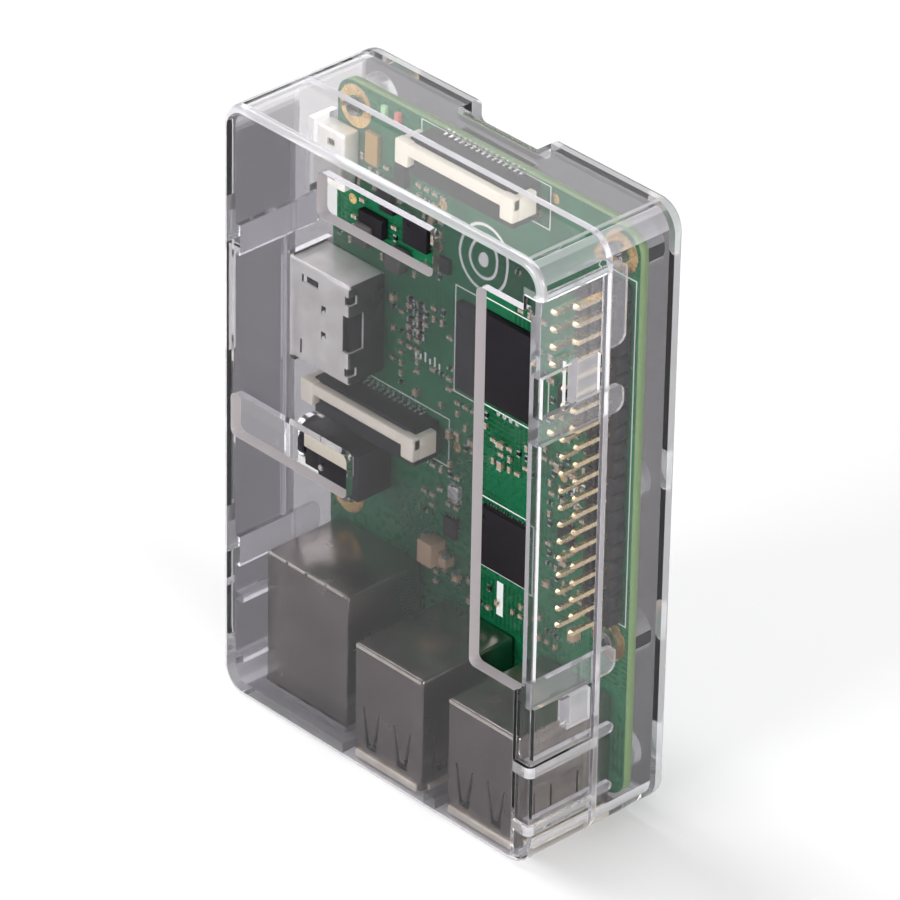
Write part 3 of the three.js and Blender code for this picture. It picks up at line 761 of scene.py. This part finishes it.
def chip_leads(bm, centre, half_v, half_z, per_side, pitch, reach):
    """Flat leads on the four sides of a chip."""
    for i in range(per_side):
        shift = (i - (per_side - 1) / 2) * pitch
        for side in (-1, 1):
            v, z = centre[0] + side * half_v, centre[1] + shift
            edges = sorted((v, v + side * reach))
            add_block(bm, (edges[0], 0.02, z - LEAD_WIDTH / 2), (edges[1], 0.2, z + LEAD_WIDTH / 2))
            v, z = centre[0] + shift, centre[1] + side * half_z
            edges = sorted((z, z + side * reach))
            add_block(bm, (v - LEAD_WIDTH / 2, 0.02, edges[0]), (v + LEAD_WIDTH / 2, 0.2, edges[1]))


def chip_body(name, node, bevel, dot):
    """A moulded chip body with a round first-pin mark of this radius."""
    low, high = node_span(node)
    bm = bmesh.new()
    add_block(bm, low, high, bevel=bevel)
    mark = bmesh.new()
    add_rod(mark, "h", (low[0] + 1.3, high[1], high[2] - 1.3), dot, 0.16)
    piece(name, carved(bm, mark), CHIP, "base", [node])


def block_part(name, node, material, bevel, segments=2):
    """A part that is one block with softened edges."""
    bm = bmesh.new()
    add_block(bm, *node_span(node), bevel=bevel, segments=segments)
    piece(name, bm, material, "base", [node])


def chips():
    leads = bmesh.new()
    chip_body("processor_package", "processor", 0.12, 0.6)
    for name, node, dot, count, reach in (
        ("usb_network_package", "usb_network_chip", 0.5, 16, 0.35),
        ("power_chip_package", "power_chip", 0.3, 7, 0.3),
    ):
        chip_body(name, node, 0.1, dot)
        low, high = node_span(node)
        centre = ((low[0] + high[0]) / 2, (low[2] + high[2]) / 2)
        chip_leads(leads, centre, (high[0] - low[0]) / 2, (high[2] - low[2]) / 2, count, LEAD_PITCH, reach)
    small = bmesh.new()
    for v, z, half_v, half_z, height, count in SMALL_CHIPS:
        if count:
            add_block(leads, (v - half_v, 0.05, z - half_z), (v - half_v + 0.05, 0.1, z + half_z))
            chip_leads(leads, (v, z), half_v, half_z, count, 0.55, 0.4)
        low, high = (v - half_v, SEAT, z - half_z), (v + half_v, height, z + half_z)
        add_block(small, low, high, bevel=0.08, segments=1)
    piece("chip_leads", leads, TIN, "base")
    piece("small_chips", small, CHIP, "base")
    block_part("memory_package", "memory_chip", CHIP, 0.1)


def ended_part(bodies, ends, v, z, size, along_v):
    """A two-ended chip part: a body with a metal cap at each end."""
    length, width, height = size
    half = length / 2
    cap = 0.22 * length
    for bm, low, high, grow in (
        (bodies, -half + cap, half - cap, 0.0),
        (ends, -half, -half + cap, 0.02),
        (ends, half - cap, half, 0.02),
    ):
        wide = width / 2 + grow
        if along_v:
            corners = (v + low, 0.04, z - wide), (v + high, height + grow, z + wide)
        else:
            corners = (v - wide, 0.04, z + low), (v + wide, height + grow, z + high)
        add_block(bm, *corners)


# Where small parts crowd the board: low and high corner in v and z, and the share of places filled
CROWDED = [
    ((3.0, 62.0), (22.0, 77.0), 0.62),
    ((11.5, 44.5), (24.0, 61.0), 0.42),
    ((18.0, 27.0), (27.0, 44.0), 0.55),
    ((24.0, 40.0), (48.0, 48.0), 0.5),
    ((40.6, 26.0), (48.5, 62.0), 0.42),
    ((24.0, 64.6), (46.0, 67.0), 0.5),
    ((34.5, 67.0), (46.5, 78.0), 0.18),
    ((19.0, 17.0), (44.0, 23.0), 0.45),
    ((6.0, 77.5), (15.0, 83.0), 0.3),
]
SILVER_DOTS = [(31.5 + 1.17 * i, 48.0) for i in range(4)]
# Free room round the middle of a small part, and the step between their places
PART_ROOM = 0.75
PART_STEP = 1.55
# Length, width and height of the small parts
SMALL_CAPACITOR = (1.0, 0.5, 0.5)
LARGE_CAPACITOR = (1.4, 0.8, 0.8)
SMALL_RESISTOR = (1.05, 0.5, 0.32)
LARGE_RESISTOR = (1.5, 0.9, 0.4)
# Single larger capacitors: v, z, length, width and height
LONE_CAPACITORS = [
    (23.6, 22.4, 2.4, 1.6, 1.7),
    (25.6, 20.6, 1.6, 0.9, 1.2),
    (19.8, 24.0, 2.0, 1.25, 1.3),
    (46.9, 21.6, 2.2, 1.3, 1.3),
]
ON_BOARD = [
    "processor", "usb_network_chip", "power_chip", "power_diode", "power_coil", "core_coil",
    "bulk_capacitor", "network_crystal", "input_fuse", "power_lamp", "activity_lamp", "header_block",
    "video_shell", "power_shell", "audio_body", "network_shell", "camera_connector", "camera_latch",
    "display_connector", "display_latch", "usb_shell_1", "usb_shell_2",
]


def taken_places():
    """Areas of the board, as low v, low z, high v, high z, that small parts keep clear of."""
    taken = []
    for node in ON_BOARD:
        low, high = node_span(node)
        taken.append((low[0], low[2], high[0], high[2]))
    for v, z, half_v, half_z, *_, count in SMALL_CHIPS:
        room = 0.6 if count else 0.1
        taken.append((v - half_v - room, z - half_z - room, v + half_v + room, z + half_z + room))
    taken += [(v - 0.4, z - 0.4, v + 0.4, z + 0.4) for v, z in TEST_PADS + SILVER_DOTS]
    taken += [(v - 3.0, z - 3.0, v + 3.0, z + 3.0) for v, z in HOLES]
    taken.append((24.0, 65.3, 33.4, 74.7))
    return taken


def blocked(v, z, taken):
    room = PART_ROOM
    return any(a - room < v < c + room and b - room < z < d + room for a, b, c, d in taken)


def small_parts():
    """Scatters small parts over the crowded areas, then adds the ones that have a place of their own."""
    taken = taken_places()
    draw = random.Random(7)
    capacitors, resistors, ends = bmesh.new(), bmesh.new(), bmesh.new()
    for low, high, share in CROWDED:
        for i in range(int((high[0] - low[0]) / PART_STEP)):
            for j in range(int((high[1] - low[1]) / PART_STEP)):
                v = low[0] + (i + 0.5) * PART_STEP
                z = low[1] + (j + 0.5) * PART_STEP
                filled, kind, along = draw.random() < share, draw.random(), draw.random() < 0.5
                if not filled or blocked(v, z, taken):
                    continue
                if kind < 0.6:
                    ended_part(capacitors, ends, v, z, SMALL_CAPACITOR, along)
                elif kind < 0.9:
                    ended_part(resistors, ends, v, z, SMALL_RESISTOR, along)
                else:
                    ended_part(capacitors, ends, v, z, LARGE_CAPACITOR, along)
    for i in range(4):
        for v in (17.5, 15.6):
            ended_part(resistors, ends, v, 54.0 + 1.5 * i, LARGE_RESISTOR, True)
    for v, z, *size in LONE_CAPACITORS:
        ended_part(capacitors, ends, v, z, size, False)
    piece("ceramic_capacitors", capacitors, CERAMIC, "base")
    piece("chip_resistors", resistors, CHIP, "base")
    for v, z in SILVER_DOTS:
        add_rod(ends, "h", (v, SEAT, z), 0.34, 0.1, sides=16)
    piece("part_end_caps", ends, TIN, "base")


def lone_parts():
    block_part("power_diode_body", "power_diode", CHIP, 0.15)
    block_part("power_coil_body", "power_coil", FERRITE, 0.35, segments=3)
    block_part("core_coil_body", "core_coil", FERRITE, 0.35, segments=3)
    block_part("bulk_capacitor_body", "bulk_capacitor", CERAMIC, 0.2)
    low, high = node_span("network_crystal")
    bm = bmesh.new()
    add_block(bm, low, high, bevel=0.2, segments=3)
    rim = 0.12
    add_block(bm, (low[0] - rim, low[1], low[2] - rim), (high[0] + rim, low[1] + 0.15, high[2] + rim))
    piece("network_crystal_can", bm, TIN, "base", ["network_crystal"])
    block_part("input_fuse_body", "input_fuse", FUSE, 0.12)
    block_part("power_lamp_body", "power_lamp", LAMP_RED, 0.12)
    block_part("activity_lamp_body", "activity_lamp", LAMP_GREEN, 0.12)


# Sockets

# USB stack: height of the middle of each port, and v of each pair of springs in the top of the shell
PORT_HEIGHTS = (4.4, 12.2)
TONGUE_HEIGHTS = (4.65, 12.45)
SPRING_PLACES = (-3.1, 2.9)
# Half width and top of the shell
STACK_HALF = 6.55
STACK_TOP = 16.05
# Thickness of the thin shells' sheet, and of the network and video sockets' sheet
THIN_SHEET = 0.3
SHEET = 0.35
# A cutting shape reaches this far past the wall it cuts
CUT = 1


def usb_slits(centre, front):
    """The cuts that free the springs in the top and the sides of a USB stack's shell."""
    slits = bmesh.new()
    over, under = STACK_TOP + CUT, STACK_TOP - CUT
    for spring in SPRING_PLACES:
        middle = centre + spring
        for side in (-1, 1):
            outline = [
                (middle + side * 1.75, front + 8.2),
                (middle + side * 1.35, front + 8.2),
                (middle + side * 0.35, front + 2.9),
                (middle + side * 0.95, front + 2.6),
            ]
            add_prism(slits, "h", outline, under, over)
        add_block(slits, (middle - 0.95, under, front + 2.0), (middle + 0.95, over, front + 3.0))
    left, right = centre - STACK_HALF - CUT, centre + STACK_HALF + CUT
    for h in PORT_HEIGHTS:
        for shift in (-1.5, 1.5):
            add_block(slits, (left, h + shift - 0.18, front + 3), (right, h + shift + 0.18, front + 8))
        add_block(slits, (left, h - 0.85, front + 2.1), (right, h + 0.85, front + 3.1))
    return slits


def usb_flanges(centre, front, back):
    """The flared lips round a USB stack's mouth, and the seam at its back."""
    bm = bmesh.new()
    top = STACK_TOP
    add_block(bm, (centre - 5.9, top - 0.05, front), (centre + 5.9, top + 0.33, front + 1.15), bevel=0.14)
    add_block(bm, (centre - 6.2, top - 0.1, back - 0.55), (centre + 6.2, top + 0.04, back - 0.1))
    for side in (-1, 1):
        edges = sorted((centre + side * (STACK_HALF - 0.05), centre + side * (STACK_HALF + 0.45)))
        add_block(bm, (edges[0], 1.2, front), (edges[1], 14.8, front + 1.0), bevel=0.14)
    return bm


def usb_shell(node, index):
    low, high = node_span(node)
    centre = (low[0] + high[0]) / 2
    front, back = low[2], high[2]
    left, right = centre - STACK_HALF, centre + STACK_HALF
    skin = THIN_SHEET
    shell = bmesh.new()
    add_block(shell, (left, SEAT, front), (right, STACK_TOP, back), bevel=0.5, segments=3)
    inner_high = (right - skin, STACK_TOP - skin, back - skin)
    shell = without_block(shell, (left + skin, SEAT + skin, front - CUT), inner_high, 0.3)
    shell = carved(shell, usb_slits(centre, front))
    dimple = front + 3.6
    for spring in SPRING_PLACES:
        place = (centre + spring, STACK_TOP - 0.16, dimple)
        add_rod(shell, "h", place, 0.42, 0.42, sides=16, end_radius=0.2)
    for h in PORT_HEIGHTS:
        for side in (-1, 1):
            place = (centre + side * (STACK_HALF - 0.12), h, dimple)
            add_rod(shell, "v", place, 0.4, 0.4, sides=16)
    piece(f"usb_stack_shell_{index}", shell, NICKEL, "base", [node])
    # The flanges take the lighter copy of the metal, painted highlight
    piece(f"usb_stack_flanges_{index}", usb_flanges(centre, front, back), SHELL_PAINTED_HIGHLIGHT, "base")


def usb_moulding(node, index):
    low, high = node_span(node)
    centre = (low[0] + high[0]) / 2
    front, half = -2.0, 6.05
    bm = bmesh.new()
    add_block(bm, (centre - half, 0.5, 7.5), (centre + half, STACK_TOP - 0.5, 15.0), bevel=0.15)
    add_block(bm, (centre - half, 7.5, front + 0.6), (centre + half, 9.0, 8.0), bevel=0.1)
    for h in TONGUE_HEIGHTS:
        add_block(bm, (centre - 5.5, h - 0.9, front + 1), (centre + 5.5, h + 0.9, 8.0), bevel=0.2)
    piece(f"usb_stack_moulding_{index}", bm, WHITE, "base", [node])
    contacts = bmesh.new()
    for h in TONGUE_HEIGHTS:
        for i in range(4):
            v = centre - 3.5 + 7 * i / 3
            add_block(contacts, (v - 0.5, h - 0.96, front + 1.6), (v + 0.5, h - 0.86, 7.4))
    piece(f"usb_stack_contacts_{index}", contacts, GOLD, "base")


def network_socket():
    low, high = node_span("network_shell")
    shell = bmesh.new()
    add_block(shell, (low[0], SEAT, low[2]), high, bevel=0.35, segments=3)
    top = high[1]
    inner_high = (high[0] - SHEET, top - SHEET, high[2] - SHEET)
    shell = without_block(shell, (low[0] + SHEET, 0.4, low[2] - CUT), inner_high)
    slits = bmesh.new()
    for i in range(3):
        v = low[0] + 2.0 + 4.7 * i
        add_block(slits, (v, top - CUT, low[2] + 0.7), (v + 2.8, top + CUT, low[2] + 1.0))
    shell = carved(shell, slits)
    for side, v in ((-1, low[0]), (1, high[0])):
        edges = sorted((v, v + side * 0.28))
        add_block(shell, (edges[0], 4.5, low[2] + 1.5), (edges[1], 8.5, low[2] + 7.5), bevel=0.12)
    piece("network_socket_shell", shell, NICKEL, "base", ["network_shell"])
    seams = bmesh.new()
    for i in range(4):
        v = low[0] + 0.5 + 3.8 * i
        add_block(seams, (v, top - 0.1, high[2] - 0.3), (v + 3.2, top + 0.04, high[2] - 0.02))
    # The seams take the same painted highlight
    piece("network_socket_seams", seams, SHELL_PAINTED_HIGHLIGHT, "base")


def network_contacts():
    """Eight slanting spring wires."""
    low, high = node_span("network_moulding")
    centre = (low[0] + high[0]) / 2
    bm = bmesh.new()
    for i in range(8):
        v = centre + (i - 3.5) * 1.02
        outline = [(12.1, low[2] + 2), (12.0, low[2] + 2), (9.6, low[2] + 10), (9.8, low[2] + 10.2)]
        add_prism(bm, "v", outline, v - 0.22, v + 0.22)
    piece("network_contacts", bm, GOLD, "base")


def paint_shade_on_header_side(obj, material):
    """Gives the faces that look towards the pin header a darker copy of the metal, as painted shade."""
    obj.data.materials.append(material)
    for polygon in obj.data.polygons:
        polygon.material_index = int(polygon.normal.x > 0.7)


# Openings in the top of the video socket: low and high v, low and high z from its middle, and depth
VIDEO_SLITS = [
    (1.2, 4.4, 4.6, 5.8, 1.0),
    (0.9, 1.25, -6.4, -4.2, 1.0),
    (5.0, 5.9, 1.25, 2.6, 1.0),
    (5.0, 5.9, -2.65, -1.3, 1.0),
    (9.2, 11.5, -2.6, 2.9, 2.6),
    (9.6, 11.5, 4.6, 5.9, 1.4),
    (9.6, 11.5, -6.2, -5.0, 1.4),
]


def video_socket():
    low, high = node_span("video_shell")
    middle = (low[2] + high[2]) / 2
    top = high[1]
    shell = bmesh.new()
    add_block(shell, (low[0], SEAT, low[2]), high, bevel=0.4, segments=3)
    inner_high = (high[0] - SHEET, top - SHEET, high[2] - SHEET)
    shell = without_block(shell, (low[0] - CUT, 0.4, low[2] + SHEET), inner_high, 0.3)
    slits = bmesh.new()
    for v0, v1, z0, z1, depth in VIDEO_SLITS:
        add_block(slits, (v0, top - depth, middle + z0), (v1, top + CUT, middle + z1))
    shell = carved(shell, slits)
    for z0, z1 in ((high[2] - 0.2, high[2] + 0.35), (low[2] - 0.35, low[2] + 0.2)):
        add_block(shell, (low[0] - 0.02, 0.3, z0), (low[0] + 0.5, top - 0.4, z1), bevel=0.1)
    for z in (middle + 1.5, middle - 2.4):
        add_rod(shell, "h", (5.45, top - 0.2, z), 0.42, 0.3, sides=16)
    made = piece("video_socket_shell", shell, PALE_NICKEL, "base", ["video_shell"])
    # The side toward the pin header takes the darker copy, painted shade
    paint_shade_on_header_side(made, NICKEL_PAINTED_SHADE)


def power_socket():
    low, high = node_span("power_shell")
    shell = bmesh.new()
    add_block(shell, (low[0], SEAT, low[2]), high, bevel=0.35, segments=3)
    top, skin = high[1], THIN_SHEET
    inner_high = (high[0] - skin, top - skin, high[2] - skin)
    shell = without_block(shell, (low[0] - CUT, 0.35, low[2] + skin), inner_high, 0.25)
    slits = bmesh.new()
    middle = (low[2] + high[2]) / 2
    for z in (middle - 2.2, middle + 2.2):
        add_block(slits, (1.2, top - CUT, z - 0.5), (2.6, top + CUT, z + 0.5))
    shell = carved(shell, slits)
    piece("power_socket_shell", shell, PALE_NICKEL, "base", ["power_shell"])


# Height of the audio jack's bore above the board
BORE_H = 3.07


def jack_bore(middle):
    bm = bmesh.new()
    add_rod(bm, "v", (4.7, BORE_H, middle), 1.8, 13.4, sides=32)
    return bm


def audio_jack():
    low, high = node_span("audio_body")
    middle = (low[2] + high[2]) / 2
    top = high[1]
    body = bmesh.new()
    add_block(body, (3.2, SEAT, low[2]), high, bevel=0.25)
    add_block(body, (0.3, SEAT, low[2] + 0.5), (3.4, top - 0.3, high[2] - 0.5), bevel=0.2)
    body = carved(body, jack_bore(middle))
    piece("audio_jack_body", body, BLACK, "base", ["audio_body"])
    barrel = bmesh.new()
    add_rod(barrel, "v", (-0.6, BORE_H, middle), 2.95, 2.0, sides=40)
    piece("audio_jack_barrel", carved(barrel, jack_bore(middle)), BLACK, "base")
    cover = bmesh.new()
    cover_high = (high[0] - 0.8, top + 0.5, high[2] - 0.1)
    add_block(cover, (1.0, top + 0.02, middle + 0.4), cover_high, bevel=0.1)
    piece("audio_jack_cover", cover, JACK_LABEL, "base")
    metal = bmesh.new()
    for v in (2.2, 6.0, 9.8):
        for z0, z1 in ((low[2] - 0.3, low[2] + 0.1), (high[2] - 0.1, high[2] + 0.3)):
            add_block(metal, (v, SEAT, z0), (v + 1.1, 1.1, z1), bevel=0.05)
    add_rod(metal, "h", (4.0, top + 0.1, middle - 1.8), 0.45, 0.25, sides=20)
    piece("audio_jack_legs", metal, TIN, "base")


CONTACTS_PER_RIBBON = 15


def ribbon_latch(bm, low, high, seat, centre):
    """The latch bar with a thicker ear and a leg at each end."""
    add_block(bm, (low[0], seat, centre + 0.7), (high[0], seat + 1.2, centre + 2.4), bevel=0.18)
    for outer, inward in ((low[0], 1), (high[0], -1)):
        ear = sorted((outer, outer + 2.4 * inward))
        leg = sorted((outer, outer + 1.15 * inward))
        add_block(bm, (ear[0], seat, centre - 0.9), (ear[1], seat + 1.4, centre + 2.6), bevel=0.2)
        add_block(bm, (leg[0], 1.7, centre - 0.9), (leg[1], seat + 0.2, centre + 2.4), bevel=0.1)


def ribbon_connector(name, reach):
    """A ribbon connector with its latch and its soldered tails, whose feet reach this far behind it."""
    body_node, latch_node = f"{name}_connector", f"{name}_latch"
    low, high = node_span(body_node)
    centre = (low[2] + high[2]) / 2
    body = bmesh.new()
    add_block(body, (low[0], SEAT, low[2]), high, bevel=0.12)
    mouth_high = (high[0] - 1, high[1] + CUT, centre + 0.5)
    body = without_block(body, (low[0] + 1, 1.0, centre - 0.2), mouth_high)
    piece(f"{name}_connector_body", body, BLACK, "base", [body_node])
    latch = bmesh.new()
    ribbon_latch(latch, *node_span(latch_node), high[1] + 0.1, centre)
    piece(f"{name}_latch_bar", latch, CREAM, latch_node, [latch_node])
    tails = bmesh.new()
    middle = (low[0] + high[0]) / 2
    back = high[2]
    for i in range(CONTACTS_PER_RIBBON):
        v = middle + i - (CONTACTS_PER_RIBBON - 1) / 2
        add_block(tails, (v - 0.2, 0.02, back - 0.1), (v + 0.2, 1.0, back + 0.22))
        add_block(tails, (v - 0.2, 0.02, back + 0.2), (v + 0.2, 0.25, back + reach))
    piece(f"{name}_connector_tails", tails, TIN, "base")


def card_socket():
    low, high = node_span("card_cover")
    cover = bmesh.new()
    add_block(cover, low, high, bevel=0.2)
    skin = 0.25
    inner_low = (low[0] + skin, low[1] + skin, low[2] + skin)
    cover = without_block(cover, inner_low, (high[0] - skin, high[1] + CUT, high[2] + CUT))
    cover = without_block(cover, (24.6, low[1] - CUT, 76.0), (31.4, low[1] + CUT, 79.6))
    piece("card_socket_cover", cover, NICKEL, "base", ["card_cover"])


# What is left as its CAD solid, with its finish
KEPT_NODES = {
    "video_moulding": BLACK,
    "power_moulding": BLACK,
    "audio_contact": TIN,
    "network_moulding": BLACK,
    "network_lamp_left": LAMP_GREEN,
    "network_lamp_right": LAMP_AMBER,
    "card_tray": BLACK,
}


def kept_nodes():
    for node, material in KEPT_NODES.items():
        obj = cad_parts[node]
        obj.data.materials.clear()
        obj.data.materials.append(material)


# The base's broad faces take the darker tint, painted shade
case_moulding("case_base", "base", CLEAR_PAINTED_SHADE_BASE)
case_moulding("case_lid", "lid", CLEAR_LID)
circuit_board()
plated_copper()
header_solder()
silkscreen()
pin_header()
chips()
small_parts()
lone_parts()
for number in (1, 2):
    usb_shell(f"usb_shell_{number}", number)
    usb_moulding(f"usb_moulding_{number}", number)
network_socket()
network_contacts()
video_socket()
power_socket()
audio_jack()
ribbon_connector("camera", 0.75)
ribbon_connector("display", 0.62)
card_socket()
kept_nodes()


# Studio

# Half the floor's width in metres
FLOOR_REACH = 6.0
WORLD_STRENGTH = 0.25
LIGHT_BOUNCES = 24
CLEAR_BOUNCES = 20
# Where the lights point
LIT_PLACE = (0, 0, 0.045)
# Soft lights: name, place, width and height in metres, and power
SOFT_LIGHTS = [
    ("overhead_softbox", (-0.68, -0.05, 0.85), 0.34, 1.0, 9),
    ("front_softbox", (-0.15, -1.0, 0.32), 0.6, 0.4, 10),
    ("side_softbox", (0.95, -0.1, 0.32), 0.5, 0.5, 10),
    ("back_softbox", (-0.75, 0.72, 0.62), 0.7, 0.5, 2.8),
]


def floor():
    bm = bmesh.new()
    turns = ((-1, -1), (1, -1), (1, 1), (-1, 1))
    bm.faces.new([bm.verts.new((x * FLOOR_REACH, y * FLOOR_REACH, 0)) for x, y in turns])
    paper = plain_finish("floor_paper", (0.82, 0.82, 0.82), 0.7, size_mm=400, bump=0.0, vary=0.01)
    obj = show_mesh("floor", bm, paper)


def soft_light(name, place, width, height, power):
    data = bpy.data.lights.new(name, "AREA")
    data.shape = "RECTANGLE"
    data.size = width
    data.size_y = height
    data.energy = power
    obj = bpy.data.objects.new(name, data)
    bpy.context.scene.collection.objects.link(obj)
    obj.location = place
    obj.rotation_euler = (Vector(LIT_PLACE) - Vector(place)).to_track_quat("-Z", "Y").to_euler()


def studio():
    floor()
    for light in SOFT_LIGHTS:
        soft_light(*light)
    scene = bpy.context.scene
    world = bpy.data.worlds.new("studio")
    scene.world = world
    world.use_nodes = True
    background = world.node_tree.nodes["Background"]
    background.inputs["Color"].default_value = (1, 1, 1, 1)
    background.inputs["Strength"].default_value = WORLD_STRENGTH
    scene.view_settings.view_transform = "Standard"
    scene.cycles.transparent_max_bounces = LIGHT_BOUNCES
    scene.cycles.max_bounces = LIGHT_BOUNCES
    scene.cycles.transmission_bounces = CLEAR_BOUNCES


# Camera's place in millimetres, its angles in degrees, and its lens in millimetres
CAMERA_PLACE = (574.63, -546.09, 526.55)
CAMERA_AZIMUTH = 46.418
CAMERA_ELEVATION = 31.237
CAMERA_ROLL = 1.039
CAMERA_LENS = 284.58


def camera():
    azimuth, elevation, roll = (math.radians(a) for a in (CAMERA_AZIMUTH, CAMERA_ELEVATION, CAMERA_ROLL))
    level = math.cos(elevation)
    back = Vector((math.sin(azimuth) * level, -math.cos(azimuth) * level, math.sin(elevation)))
    right = Vector((math.cos(azimuth), math.sin(azimuth), 0))
    up = back.cross(right)
    rolled_right = right * math.cos(roll) + up * math.sin(roll)
    rolled_up = up * math.cos(roll) - right * math.sin(roll)
    data = bpy.data.cameras.new("camera")
    data.lens = CAMERA_LENS
    data.sensor_width = 36
    data.clip_start = 0.01
    obj = bpy.data.objects.new("camera", data)
    bpy.context.scene.collection.objects.link(obj)
    turn = Matrix((rolled_right, rolled_up, back)).transposed()
    obj.matrix_world = Matrix.Translation(Vector(CAMERA_PLACE) * MM) @ turn.to_4x4()
    bpy.context.scene.camera = obj


studio()
camera()
